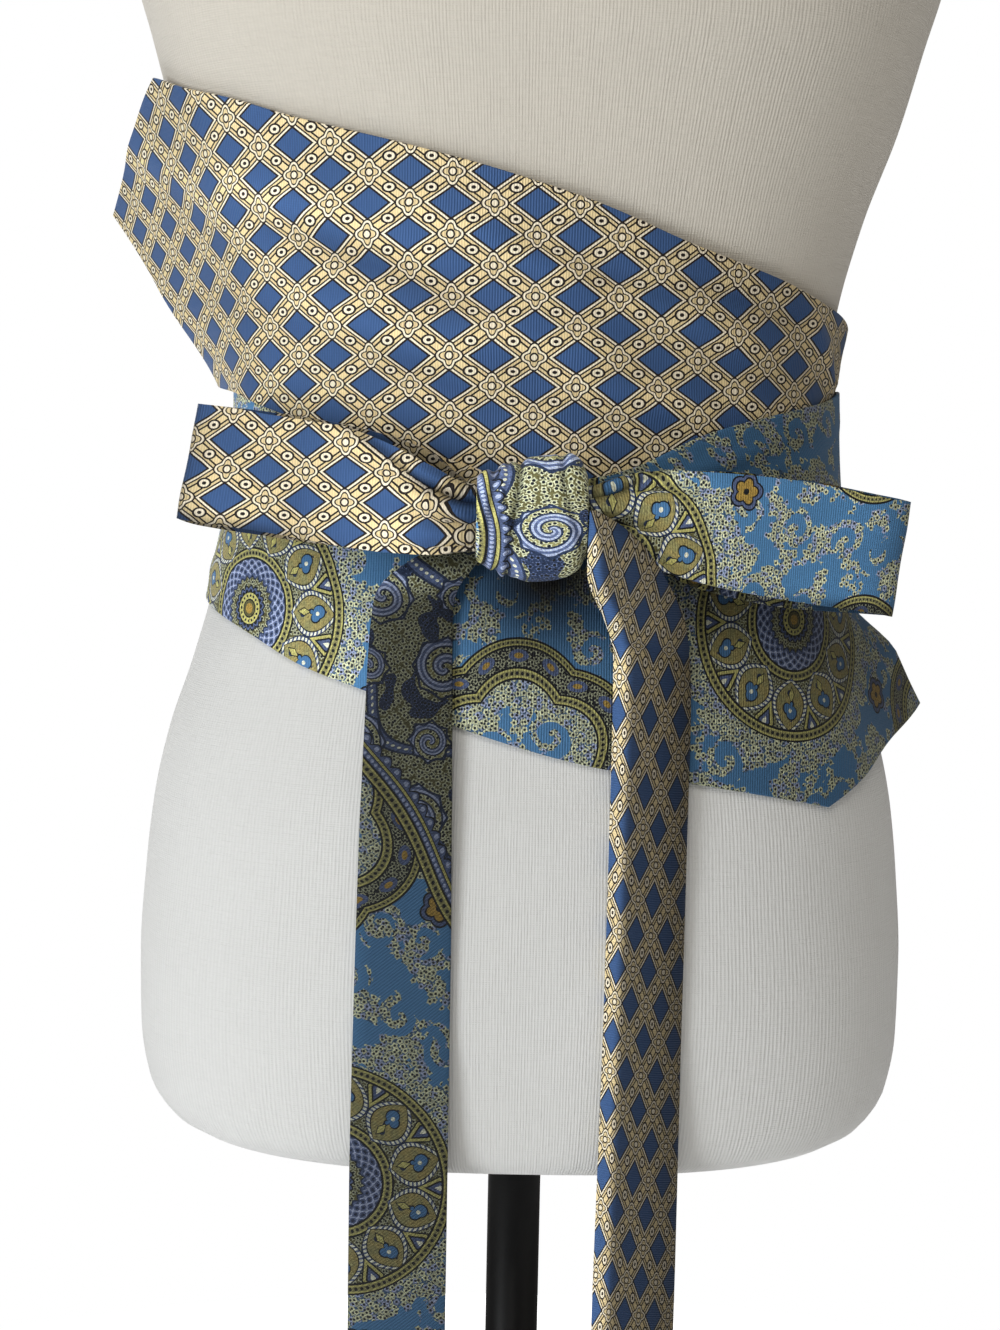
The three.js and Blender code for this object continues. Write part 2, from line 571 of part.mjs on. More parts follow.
function add(name, geometry, color, roughness, metalness = 0) {
  const mesh = new THREE.Mesh(
    geometry,
    new THREE.MeshStandardMaterial({ color, roughness, metalness }),
  );
  mesh.name = name;
  group.add(mesh);
}

const LINEN = 0xcfccc4;
const BLACK = 0x16161a;
const GOLD = 0xc9b078;
const BLUE = 0x5f7c9c;

add("form_torso", torsoGeometry(), LINEN, 0.9);
add("form_pole", poleGeometry(), BLACK, 0.4, 0.6);
add("form_base", baseGeometry(), BLACK, 0.45, 0.6);

for (const [tie, run, direction, blade, color] of [
  ["gold", GOLD_RUN, 1, GOLD_BLADE, GOLD],
  ["paisley", PAISLEY_RUN, -1, PAISLEY_BLADE, BLUE],
]) {
  const sashEnd = tie === "gold" ? GOLD_SASH_END : PAISLEY_SASH_END;
  const band = (from, to) => bandPoint(run, direction, from, to, blade);
  const neckEnd = slantedSeam(SASH_SEAM, -0.5);
  add(`${tie}_blade`, wallGeometry(BLADE_COLUMNS, BLADE_ROWS,
    band(bladeStart(blade), slantedSeam(NECK_SEAM, -0.5))), color, 0.7);
  add(`${tie}_neck`, wallGeometry(NECK_COLUMNS, BAND_ROWS,
    band(slantedSeam(NECK_SEAM, 0.5), neckEnd)), color, 0.7);
  add(`${tie}_sash`, wallGeometry(SASH_COLUMNS, BAND_ROWS,
    band(slantedSeam(SASH_SEAM, 0.5), () => sashEnd)), color, 0.7);
}

add("loop_left", wallGeometry(LOOP_COLUMNS, RIBBON_ROWS, loopPoint(LEFT_LOOP)), GOLD, 0.7);
add("loop_right", wallGeometry(LOOP_COLUMNS, RIBBON_ROWS, loopPoint(RIGHT_LOOP)), BLUE, 0.7);
add("knot", knotGeometry(), BLUE, 0.7);
add("tail_left", wallGeometry(TAIL_COLUMNS, RIBBON_ROWS - 1,
  tailPoint(LEFT_TAIL, LEFT_TAIL_END)), BLUE, 0.7);
add("tail_right", wallGeometry(TAIL_COLUMNS, RIBBON_ROWS - 1,
  tailPoint(RIGHT_TAIL, RIGHT_TAIL_END)), GOLD, 0.7);

export default group;
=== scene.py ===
import json
import math
from collections import namedtuple

import bmesh
import bpy
from bpy.props import FloatProperty, FloatVectorProperty, PointerProperty
from mathutils import Matrix, Vector, noise

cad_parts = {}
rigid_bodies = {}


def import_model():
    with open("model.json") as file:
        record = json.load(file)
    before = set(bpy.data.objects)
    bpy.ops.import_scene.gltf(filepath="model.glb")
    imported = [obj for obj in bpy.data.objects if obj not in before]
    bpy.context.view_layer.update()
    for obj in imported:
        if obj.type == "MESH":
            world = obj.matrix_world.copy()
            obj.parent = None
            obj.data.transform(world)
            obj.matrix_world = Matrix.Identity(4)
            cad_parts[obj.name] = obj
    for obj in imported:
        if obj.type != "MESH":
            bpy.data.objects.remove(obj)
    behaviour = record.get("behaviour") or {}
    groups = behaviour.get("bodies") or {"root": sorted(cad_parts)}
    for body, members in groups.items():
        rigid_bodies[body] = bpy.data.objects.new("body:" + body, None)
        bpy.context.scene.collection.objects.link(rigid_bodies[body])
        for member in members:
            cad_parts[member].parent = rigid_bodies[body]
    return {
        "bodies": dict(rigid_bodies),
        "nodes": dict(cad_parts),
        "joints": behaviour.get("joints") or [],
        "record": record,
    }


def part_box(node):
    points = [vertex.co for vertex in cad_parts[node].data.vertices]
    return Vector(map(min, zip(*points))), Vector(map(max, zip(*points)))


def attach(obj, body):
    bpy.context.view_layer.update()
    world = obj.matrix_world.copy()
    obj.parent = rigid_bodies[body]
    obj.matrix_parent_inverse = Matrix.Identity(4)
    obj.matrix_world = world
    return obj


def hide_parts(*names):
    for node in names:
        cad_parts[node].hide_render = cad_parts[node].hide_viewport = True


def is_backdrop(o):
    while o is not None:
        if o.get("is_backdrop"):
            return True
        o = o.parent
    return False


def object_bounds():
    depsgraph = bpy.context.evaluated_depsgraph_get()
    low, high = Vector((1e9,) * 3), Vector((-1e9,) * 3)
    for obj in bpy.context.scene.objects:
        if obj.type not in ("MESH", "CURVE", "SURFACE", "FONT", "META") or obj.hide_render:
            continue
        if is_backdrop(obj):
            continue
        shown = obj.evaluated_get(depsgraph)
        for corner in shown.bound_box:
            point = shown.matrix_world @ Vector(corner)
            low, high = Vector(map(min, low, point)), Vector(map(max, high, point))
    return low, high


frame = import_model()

# Looks of a wrap obi belt made of two opened neckties, tied in a bow on a dress form.
# Blender works in metres. The tables of the cloth's shape are in millimetres, with heights
# from the waistline, and MM turns them into metres. The front faces -Y and +Z is up.

bl_info = {
    "name": "Obi belt on a dress form",
    "version": (1, 0, 0),
    "blender": (4, 5, 0),
    "location": "3D View > Sidebar > Obi belt",
    "description": "Builds the silk ties, bow, linen form and studio round the packed part",
    "category": "Object",
}

CAD_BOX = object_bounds()
MM = 0.001
TURN = 2 * math.pi

# ---- Sizes of the form and the cloth, in millimetres --------------------------------------
FORM_SECTIONS = (
    "height half_width front back power",
    (-312, 128, 83, 90, 2.6),
    (-309, 150, 100, 108, 2.6),
    (-302, 163, 107, 117, 2.6),
    (-288, 171.5, 110, 121, 2.6),
    (-265, 175, 112, 125, 2.6),
    (-230, 175.5, 114, 126, 2.5),
    (-190, 173, 113, 120, 2.4),
    (-160, 169.5, 112, 114, 2.35),
    (-130, 163, 109, 108, 2.3),
    (-100, 153, 105, 100, 2.25),
    (-60, 142, 99, 90, 2.2),
    (-20, 134.5, 95, 82, 2.2),
    (20, 132, 94, 80, 2.2),
    (60, 137, 98, 82, 2.2),
    (100, 147, 105, 88, 2.2),
    (140, 161, 113, 94, 2.25),
    (175, 170.5, 120, 100, 2.3),
    (205, 179, 120, 104, 2.3),
    (250, 186, 113, 106, 2.3),
    (300, 184, 97, 102, 2.3),
    (340, 168, 78, 88, 2.2),
    (368, 128, 63, 72, 2.1),
    (388, 80, 53, 60, 2.05),
    (405, 58, 50, 54, 2),
    (440, 54, 49, 51, 2),
    (446, 51, 46, 48, 2),
)
FORM_FOOT = FORM_SECTIONS[1][0]
FORM_TOP = FORM_SECTIONS[-1][0]
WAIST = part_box("form_torso")[0].z / MM - FORM_FOOT  # height of the waistline above the floor

PANEL = 1.6  # thickness of an opened tie
RIBBON = 2.4  # thickness of a folded tie
INNER_LIFT = 1.2  # how far each of the three layers lies off the form
OVER_LIFT = 3.8
OUTER_LIFT = 6.4
SEAM = 0.35  # gap at a seam
SEAM_RADIUS = 132  # of the form where the seams lie

# Each tie's edges as it runs round the form. Turn is in degrees round from the front in the
# tie's own direction, so it passes 180 at the back and comes to the knot near 360.
GOLD_RUN = (
    "turn top bottom",
    (-104, 170, 44), (-90, 163, 25), (-76, 154, 21), (-68, 147, 17), (-58, 140, 11.5),
    (-45, 129.5, 3), (-27, 119, -10), (-8, 109, -22), (13, 97, -33), (34, 82, -42),
    (52, 71.5, -48), (70, 61, -51), (92, 54, -50), (110, 54, -43), (132, 56, -27), (155, 59, -10),
    (180, 61, -3.6), (215, 37, -10), (255, 11, -28), (275, 8.5, -29), (300, 8, -31),
    (316, 6.6, -36), (325, 3.6, -40), (338, -4.5, -41), (352, -12, -42), (362, -15, -42),
)
PAISLEY_RUN = (
    "turn top bottom",
    (-92, -40, -198), (-75, -21, -166), (-56, -14, -149.5), (-34, -3, -138), (-11, 7, -129.5),
    (16, 18, -115), (30, 24, -105), (47, 30, -94), (59, 33, -83.5), (67, 35, -78), (80, 36, -72),
    (100, 33, -66), (140, 14, -62), (172, -5, -60), (188, -5, -58), (215, 8, -46), (255, 24, -31),
    (272, 27, -29), (291, 20.5, -31), (302, 16, -32), (320, 6.6, -36), (338, -9, -40),
    (350, -14, -42), (359, -15, -42),
)

# How far each tie lies off the form as it runs round, and how far its upper edge flares.
GOLD_LIFT = (
    "turn lift",
    (-104, OVER_LIFT), (255, OVER_LIFT), (275, 4.8), (300, OUTER_LIFT), (362, OUTER_LIFT),
)
PAISLEY_LIFT = (
    "turn lift",
    (-92, INNER_LIFT), (172, INNER_LIFT), (188, OUTER_LIFT), (359, OUTER_LIFT),
)
GOLD_FLARE = (
    "turn flare",
    (-104, 0), (70, 0), (92, 3), (110, 9), (132, 2), (155, 0), (362, 0),
)
NO_FLARE = (
    "turn flare",
    (-104, 0), (362, 0),
)

# Where each tie's lengths are joined by slanting seams, and where its sash meets the knot.
NECK_SEAM = 100
SASH_SEAM = 262
SEAM_SLANT = 9

# Soft creases, each a line between two places on a tie: a ridge where rise is above 0 and a
# trough below it.
GOLD_CREASES = (
    "turn height to_turn to_height width rise",
    (-70, 110, -14, 70, 7, 2.0),
    (-58, 88, -8, 48, 6, -1.8),
    (-34, 98, 12, 66, 6, 1.7),
    (-52, 58, -12, 30, 7, 1.8),
    (-40, 34, -6, 12, 5, -0.7),
    (-20, 46, 22, 34, 6, 1.6),
    (-6, 84, 34, 56, 5, -1.8),
    (6, 28, 44, 10, 6, 1.7),
    (20, 62, 52, 40, 5, 1.8),
    (34, 68, 62, 52, 4, -1.5),
    (44, 26, 70, -4, 5, 1.5),
    (62, 56, 84, 14, 4.5, 2.0),
    (74, 46, 92, 6, 4, -0.9),
    (84, 40, 98, -14, 4.5, 1.6),
    (60, 2, 88, -30, 5, 1.0),
    (-92, 132, -62, 88, 8, 1.6),
    (-86, 66, -52, 44, 7, -0.7),
    (104, 40, 132, 12, 5, 1.8),
    (112, 8, 140, -6, 5, -0.8),
    (138, 46, 172, 34, 5, 1.4),
    (150, 18, 184, 22, 5, -0.7),
    (186, 52, 222, 22, 5, 1.2),
    (206, 18, 240, -6, 5, -0.6),
    (232, 16, 262, -14, 4.5, 0.7),
    (272, -2, 306, -16, 4, 0.7),
    (312, -10, 350, -26, 3, 0.9),
    (318, -24, 352, -33, 2.5, -0.5),
)
PAISLEY_CREASES = (
    "turn height to_turn to_height width rise",
    (-70, -140, -40, -96, 9, 0.7),
    (-52, -118, -24, -84, 8, -0.4),
    (-30, -112, 4, -92, 9, 0.6),
    (-6, -70, 22, -88, 7, 0.5),
    (14, -62, 44, -84, 7, -0.4),
    (34, -58, 58, -50, 6, 0.7),
    (52, -66, 74, -42, 5, -0.4),
    (66, -56, 92, -58, 5, 0.8),
    (84, -24, 112, -52, 6, 0.6),
    (104, -12, 134, -34, 6, -0.4),
    (124, -22, 158, -52, 6, 0.7),
    (160, -20, 186, -44, 5, 0.6),
    (196, -12, 226, -38, 5, 0.8),
    (214, -8, 248, -22, 5, -0.6),
    (240, 6, 270, -16, 5, 0.7),
    (276, 16, 300, -8, 4, 0.6),
    (290, 8, 330, -20, 3.5, -0.6),
    (304, 4, 344, -24, 3.5, 0.7),
)

# Painted light and shade on each tie as it runs round: how much brighter or darker its silk is
# painted at each turn, standing in for how its ribs catch the light and for the side away from it.
GOLD_PAINTED_LIGHT = (
    "turn gleam",
    (-104, 1.3), (-60, 1.25), (-20, 1.05), (30, 0.95), (60, 0.85), (85, 0.7), (120, 0.9),
    (362, 0.95),
)
PAISLEY_PAINTED_LIGHT = (
    "turn gleam",
    (-92, 0.5), (-50, 0.55), (-20, 0.7), (10, 0.85), (35, 1.2), (60, 1.5), (90, 1.2), (180, 1),
    (262, 0.8), (290, 0.62), (359, 0.7),
)

# A blade's point is cut between two shoulders, at these turns. Its free end faces that many
# degrees round from the front. It is held on the form at one height and free at the other.
Blade = namedtuple("Blade", "top_shoulder tip bottom_shoulder facing held free")
GOLD_BLADE = Blade(-76, -102, -88, 57, -10, 70)
PAISLEY_BLADE = Blade(-82, -90, -58, 54, -64, -92)

# Direction 1 runs from the front to the viewer's right and -1 to their left, seed picks a
# tie's unevenness, and origin is where its print starts on the flat cloth.
Tie = namedtuple("Tie", "name run lift flare creases gleam direction seed blade end origin")
GOLD_TIE = Tie(
    "gold", GOLD_RUN, GOLD_LIFT, GOLD_FLARE, GOLD_CREASES, GOLD_PAINTED_LIGHT, 1, 7, GOLD_BLADE, 361,
    (0, 0),
)
PAISLEY_TIE = Tie(
    "paisley", PAISLEY_RUN, PAISLEY_LIFT, NO_FLARE, PAISLEY_CREASES, PAISLEY_PAINTED_LIGHT, -1, 31,
    PAISLEY_BLADE, 358.4, (122, -245),
)

# Loops in plan, from inside the knot out along the rear layer, round the fold and back along
# the front layer. Lean is how far the lower edge lies outward of the upper one.
LOOP_COLUMNS = "x y top bottom lean thick"
LEFT_LOOP = (
    LOOP_COLUMNS,
    (1.6, -116.6, -16.5, -41.5, 0, 6.6),
    (-18, -116.4, -16, -42, 0, 6.2),
    (-24, -115.4, -16.6, -42, 0, 4.2),
    (-29, -113.4, -13, -43.4, 0, 3.4),
    (-44, -108, -2, -43.2, 0, 2.4),
    (-76, -98.5, 7, -42.5, 1, 2.4),
    (-110, -86, 12, -39, 4, 2.4),
    (-131, -78, 14, -36, 8, 2.4),
    (-137, -80, 14.5, -34, 9, 2.4),
    (-137.5, -86, 14.5, -33, 9, 2.4),
    (-131, -91, 14, -34, 8, 2.4),
    (-110, -100, 11, -36.5, 4, 2.4),
    (-76, -113, 6, -41.5, 1, 2.4),
    (-58, -118, 0, -43.5, 0, 2.4),
    (-40, -122.5, -9, -44, 0, 3),
    (-24, -126, -16, -42, 0, 5),
    (-18, -126.2, -16, -42, 0, 6.2),
    (1.6, -126.2, -16.5, -41.5, 0, 6.6),
)
RIGHT_LOOP = (
    LOOP_COLUMNS,
    (2.2, -116.6, -16.5, -41, 0, 6.6),
    (18, -116.4, -16, -40.5, 0, 6.2),
    (24, -115.4, -16.3, -40.5, 0, 4.4),
    (29, -113.4, -14, -41.5, 0, 3.6),
    (44, -108, -10, -47, 0, 2.4),
    (76, -97, -9, -59, 0, 2.4),
    (112, -81, -12, -66, -2, 2.4),
    (149, -64.5, -18, -69, -5, 2.4),
    (159.5, -64, -20, -69.5, -6, 2.4),
    (160.5, -70, -20.5, -69.5, -6, 2.4),
    (153, -76, -19.5, -68, -5, 2.4),
    (112, -95.5, -12.5, -62, -2, 2.4),
    (76, -112.5, -9.5, -55.5, 0, 2.4),
    (56, -118.5, -9, -50, 0, 2.4),
    (40, -122.5, -10.5, -45, 0, 3),
    (24, -126, -15.5, -40.6, 0, 5),
    (18, -126.2, -16, -40.5, 0, 6.2),
    (2.2, -126.2, -16.5, -41, 0, 6.6),
)

# Pleats of a loop where its front layer is gathered into the knot, by share of its height,
# and the ledge of the deep fold that runs across the layer into the knot.
PLEAT_COLUMNS = "level spread rise"
LEFT_PLEATS = (
    PLEAT_COLUMNS,
    (0.90, 0.06, 2.2), (0.74, 0.07, -2.6), (0.60, 0.06, 1.6), (0.42, 0.08, -1.6),
    (0.24, 0.08, 1.2), (0.10, 0.05, -1.2),
)
RIGHT_PLEATS = (
    PLEAT_COLUMNS,
    (0.92, 0.05, 1.6), (0.80, 0.06, -2.4), (0.62, 0.08, 1.8), (0.40, 0.07, -1.8),
    (0.22, 0.07, 1.4), (0.08, 0.04, -1.2),
)

LEDGE_COLUMNS = "reach level rise"
LEFT_LEDGE = (
    LEDGE_COLUMNS,
    (18, 0.58, 0.8), (30, 0.64, 2.6), (50, 0.78, 2.4), (72, 0.94, 1.4), (92, 1.08, 0),
)
RIGHT_LEDGE = (
    LEDGE_COLUMNS,
    (18, 0.70, 0.6), (32, 0.80, 1.8), (52, 0.93, 1.4), (70, 1.08, 0),
)

KNOT_SECTIONS = (
    "x top bottom half_depth",
    (-22, -12.6, -45.4, 12.1),
    (-18, -9.5, -49.5, 13.2),
    (-14.5, -9, -50, 12.9),
    (-10.5, -6.5, -53, 14.3),
    (-7, -6.5, -52.5, 13.7),
    (-1, -4.5, -54, 14.6),
    (7, -3.5, -53.5, 14.8),
    (14, -2.5, -52, 14.6),
    (19, -5, -49, 13.4),
    (22, -11.5, -45.2, 12.1),
)
KNOT_Y = -121.4
KNOT_HEIGHT = -29
KNOT_POWER = 2.4
KNOT_GIRTH = 128  # length of cloth round the knot, as its print is laid
KNOT_ORIGIN = (44, 397)  # of its print on the flat cloth
KNOT_LIP = 0.78  # how far the rolled ends of the knot turn in towards the necks of the loops
# Channels pressed into the knot between its turns of cloth.
KNOT_CHANNELS = (
    "x slant width depth",
    (-17.0, 1.5, 1.5, 1.3),
    (-12.2, 2.0, 1.2, 1.0),
    (-7.2, 2.5, 1.3, 1.5),
    (16.5, -5.0, 1.6, 1.2),
)

# Tails: edges down their length, how far they stand off the form behind them, how far
# forward they are held at least, how far the left edge curls forward, and how far the
# middle bulges.
TAIL_COLUMNS = "height left right stand front curl bulge"
LEFT_TAIL = (
    TAIL_COLUMNS,
    (-22, -20, -11, 9.1, 0, 0, 0),
    (-36, -38, -12, 9.25, 0, 0, 0),
    (-46, -45, -20, 7.6, 0, 0.5, 0.4),
    (-51, -52, -25, 7.6, 0, 3, 2.2),
    (-56, -59, -29, 6, 0, 5, 3.4),
    (-61, -62.6, -30.6, 5, 0, 5, 2.6),
    (-68, -64, -31.5, 3.8, 0, 4, 1.8),
    (-84, -65, -31.5, 3.7, 0, 2, 2.2),
    (-104, -65.5, -31, 3.7, 0, 0, 2.0),
    (-163, -67.5, -30, 2.4, 0, 0, 1.2),
    (-230, -69, -29.5, 0.8, 0, 0, 1.0),
    (-310, -70, -29.5, 0.8, 0, 0, 1.2),
    (-520, -70, -29.5, 0.8, 0, 0, 1.4),
)
RIGHT_TAIL = (
    TAIL_COLUMNS,
    (-25, 22.8, 25, 8, 130.6, 0, 0),
    (-31, 22.8, 35, 8, 130.6, 0, 0.4),
    (-38, 22.8, 43.5, 8, 130.2, 0, 1.0),
    (-46, 22.8, 50, 7, 127, 0, 2.0),
    (-54, 24.5, 55, 5.5, 121, 0, 3.4),
    (-62, 28.5, 59.5, 4, 113, 0, 4.4),
    (-72, 33, 63, 3.8, 107, 0, 4.8),
    (-84, 36, 65, 3.7, 100, 0, 4.6),
    (-104, 36, 66, 3.7, 90, 0, 4.2),
    (-163, 35.5, 65.5, 2.4, 0, 0, 3.6),
    (-230, 35, 65.5, 0.8, 0, 0, 3.2),
    (-360, 33, 66, 0.8, 0, 0, 2.6),
    (-520, 32, 66, 0.8, 0, 0, 2.4),
)
TAIL_LEAVES = -290  # height where the tails leave the form and hang plumb


# ---- What a user may change ---------------------------------------------------------------
def length_property(name, description, default):
    return FloatProperty(
        name=name, description=description, default=default, unit="LENGTH", subtype="DISTANCE",
    )


def colour_property(name, description, default):
    return FloatVectorProperty(
        name=name, description=description, default=default, subtype="COLOR", min=0, max=1,
    )


class ObiSettings(bpy.types.PropertyGroup):
    """Sizes and colours of the belt, its form and its studio."""

    rib: length_property("Rib pitch", "Distance between the ribs of the silk", 0.00112)
    linen_rib: length_property(
        "Linen rib pitch", "Distance between the ribs of the form's cover", 0.0016,
    )
    gold: colour_property("Gold silk", "Ground of the gold tie", (0.74, 0.60, 0.34))
    blue: colour_property("Lozenge blue", "Lozenges of the gold tie", (0.047, 0.106, 0.258))
    sky: colour_property("Paisley ground", "Ground of the paisley tie", (0.085, 0.235, 0.46))
    leaf: colour_property("Paisley leaf", "Speckled leaves of the paisley tie", (0.56, 0.59, 0.41))
    linen: colour_property("Linen", "Cover of the dress form", (0.69, 0.695, 0.69))
    lens: FloatProperty(
        name="Lens", description="Focal length of the camera",
        default=53.05, subtype="DISTANCE_CAMERA", unit="CAMERA",
    )
    key: FloatProperty(
        name="Key light", description="Power of the window-like light at the front left",
        default=36, unit="POWER",
    )


# ---- Tables and shapes --------------------------------------------------------------------
def rows_of(table):
    """The rows of a table as named tuples."""
    Row = namedtuple("Row", table[0])
    return [Row(*row) for row in table[1:]]


def curves(table):
    """Reads a table as smooth curves over its first column, without overshooting."""
    Row = namedtuple("Row", table[0])
    rows = sorted(table[1:])
    at = [row[0] for row in rows]
    last = len(rows) - 1

    def grade(i, k):
        return (rows[i + 1][k] - rows[i][k]) / (at[i + 1] - at[i])

    def slope(i, k):
        if i in (0, last):
            return grade(min(i, last - 1), k)
        before, after = grade(i - 1, k), grade(i, k)
        return 0 if before * after <= 0 else 2 * before * after / (before + after)

    slopes = [[slope(i, k) for k in range(len(rows[0]))] for i in range(last + 1)]

    def read(value):
        x = min(max(value, at[0]), at[last])
        i = 0
        while i < last - 1 and x > at[i + 1]:
            i += 1
        span = at[i + 1] - at[i]
        t = (x - at[i]) / span
        found = [x]
        for k in range(1, len(rows[0])):
            start, end = rows[i][k], rows[i + 1][k]
            leaving, arriving = slopes[i][k] * span, slopes[i + 1][k] * span
            cubic = 2 * (start - end) + leaving + arriving
            square = 3 * (end - start) - 2 * leaving - arriving
            found.append(((cubic * t + square) * t + leaving) * t + start)
        return Row(*found)

    return read


def lerp(a, b, t):
    return a + (b - a) * t


def ease(low, high, value):
    """0 up to low, 1 from high on, and a smooth step between them."""
    t = min(max((value - low) / (high - low), 0), 1)
    return t * t * (3 - 2 * t)


def bump(value, centre, width):
    """A soft hump of height 1."""
    return math.exp(-(((value - centre) / width) ** 2))


def ripple(x, y, z, size):
    """A gentle unevenness between -1 and 1 that changes over the given size."""
    return noise.noise(Vector((x, y, z)) / size)


def super_radius(across, along, half_across, half_along, power):
    """Radius of a rounded oval in the direction (across, along)."""
    total = abs(across / half_across) ** power + abs(along / half_along) ** power
    return total ** (-1 / power)


form_section = curves(FORM_SECTIONS)


def form_radius(angle, height):
    """Radius of the form at an angle round from its front."""
    section = form_section(height)
    depth = section.front if math.cos(angle) > 0 else section.back
    return super_radius(math.sin(angle), math.cos(angle), section.half_width, depth, section.power)


def form_reach(x, height):
    """How far the form's front reaches at a place across it."""
    section = form_section(height)
    return section.front * (1 - abs(x / section.half_width) ** section.power) ** (1 / section.power)


# ---- Meshes -------------------------------------------------------------------------------
WELD = 0.00001  # metres within which a rolled sheet's edges are joined


def add_modifiers(piece, modifiers):
    for kind, settings in modifiers:
        made = piece.modifiers.new(kind.title(), kind)
        for key, value in settings.items():
            setattr(made, key, value)


def finished(name, mesh, materials, modifiers=()):
    """Turns a bmesh into an object with its materials and modifiers."""
    data = bpy.data.meshes.new(name)
    mesh.to_mesh(data)
    mesh.free()
    data.shade_smooth()
    for material in materials:
        data.materials.append(material)
    piece = bpy.data.objects.new(name, data)
    bpy.context.scene.collection.objects.link(piece)
    add_modifiers(piece, modifiers)
    return piece


def wall(thickness, offset=1.0, reverse=0, group=""):
    """Gives a sheet its thickness, with another material on its reverse if it has one."""
    return ("SOLIDIFY", {
        "thickness": thickness * MM, "offset": offset, "material_offset": reverse,
        "vertex_group": group, "use_quality_normals": True,
    })


def soft_edge(width):
    """Rounds the cut edges of a wall of cloth."""
    return ("BEVEL", {
        "width": width * MM, "segments": 2, "limit_method": "ANGLE",
        "angle_limit": math.radians(50), "harden_normals": False,
    })


def cloth(columns, rows, place, measure, flip=False, gleam=None, thickness=None):
    """A sheet of cloth made from a flat grid. place(u, v) is a point of it in millimetres,
    measure(u, v) is where that point lies on the flat cloth, in millimetres, and the painted
    light function gives how much brighter or darker the silk is painted at (u, v): painted light
    and shade standing in for how its ribs catch the light and for shade falling on it."""
    mesh = bmesh.new()
    bmesh.ops.create_grid(mesh, x_segments=columns, y_segments=rows, size=0.5)
    print_map = mesh.loops.layers.uv.new("cloth")
    # Painted light and shade, stored on each point for the silks to multiply their colour by.
    painted_light_layer = mesh.verts.layers.float.new("gleam")
    weights = mesh.verts.layers.deform.verify() if thickness else None
    spots = {vert: (vert.co.x + 0.5, vert.co.y + 0.5) for vert in mesh.verts}
    flat = {vert: Vector(measure(*spot)) * MM for vert, spot in spots.items()}
    for face in mesh.faces:
        for loop in face.loops:
            loop[print_map].uv = flat[loop.vert]
    for vert, (u, v) in spots.items():
        vert.co = Vector(place(u, v)) * MM
        vert[painted_light_layer] = gleam(u, v) if gleam else 1
        if thickness:
            vert[weights][0] = thickness(u)
    if flip:
        bmesh.ops.reverse_faces(mesh, faces=mesh.faces)
    return mesh


def rolled(columns, rows, place, measure, gleam=None):
    """A sheet of cloth rolled into a closed skin that faces outward."""
    mesh = cloth(columns, rows, place, measure, True, gleam)
    bmesh.ops.remove_doubles(mesh, verts=mesh.verts, dist=WELD)
    return mesh


def flat_size(mesh):
    """(width, length) and area of a sheet's flat cut, in metres, from its print map."""
    layer = mesh.loops.layers.uv.active
    spots = [loop[layer].uv for face in mesh.faces for loop in face.loops]
    size = [max(s[k] for s in spots) - min(s[k] for s in spots) for k in (0, 1)]
    area = 0
    for face in mesh.faces:
        corners = [loop[layer].uv for loop in face.loops]
        pairs = zip(corners, corners[1:] + corners[:1])
        area += abs(sum(a.x * b.y - b.x * a.y for a, b in pairs)) / 2
    return tuple(size), min(area, size[0] * size[1])


def dress(piece, node, slot):
    """Puts a piece on the root body and hides the CAD node that it stands in for."""
    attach(piece, "root")
    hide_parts(node)


# ---- Shader maths -------------------------------------------------------------------------
def shader_sum(operation, reflected=False):
    """A method of Value that adds one sum to its material."""
    def method(self, *others):
        values = (*others, self) if reflected else (self, *others)
        return self.recipe.node("ShaderNodeMath", {"operation": operation}, values)

    return method


class Value:
    """A number socket that can be used in sums."""

    __add__ = __radd__ = shader_sum("ADD")
    __sub__ = shader_sum("SUBTRACT")
    __rsub__ = shader_sum("SUBTRACT", reflected=True)
    __mul__ = __rmul__ = shader_sum("MULTIPLY")
    __truediv__ = shader_sum("DIVIDE")
    __lt__ = shader_sum("LESS_THAN")
    __gt__ = shader_sum("GREATER_THAN")
    __abs__ = shader_sum("ABSOLUTE")
    remainder = shader_sum("FLOORED_MODULO")
    wrap = shader_sum("WRAP")
    floor = shader_sum("FLOOR")
    root = shader_sum("SQRT")
    sin = shader_sum("SINE")
    cos = shader_sum("COSINE")
    angle_to = shader_sum("ARCTAN2")
    least = shader_sum("MINIMUM")
    most = shader_sum("MAXIMUM")

    def __init__(self, recipe, socket):
        self.recipe = recipe
        self.socket = socket

    def __neg__(self):
        return self * -1.0

    def also(self, output):
        """Another output of the same node."""
        return Value(self.recipe, self.socket.node.outputs[output])

    def reach(self, along):
        """Distance from the middle of a place that lies so far across and along."""
        return (self * self + along * along).root()

    def centred(self, period):
        """Repeats from minus half a period to plus half a period."""
        return self.wrap(period / 2, -period / 2)

    def ease(self, low, high):
        """A smooth step from 0 at low to 1 at high."""
        return self.recipe.node(
            "ShaderNodeMapRange", {"interpolation_type": "SMOOTHSTEP"},
            {"Value": self, "From Min": low, "From Max": high},
        )

    def between(self, low, high):
        return (self > low) * (self < high)


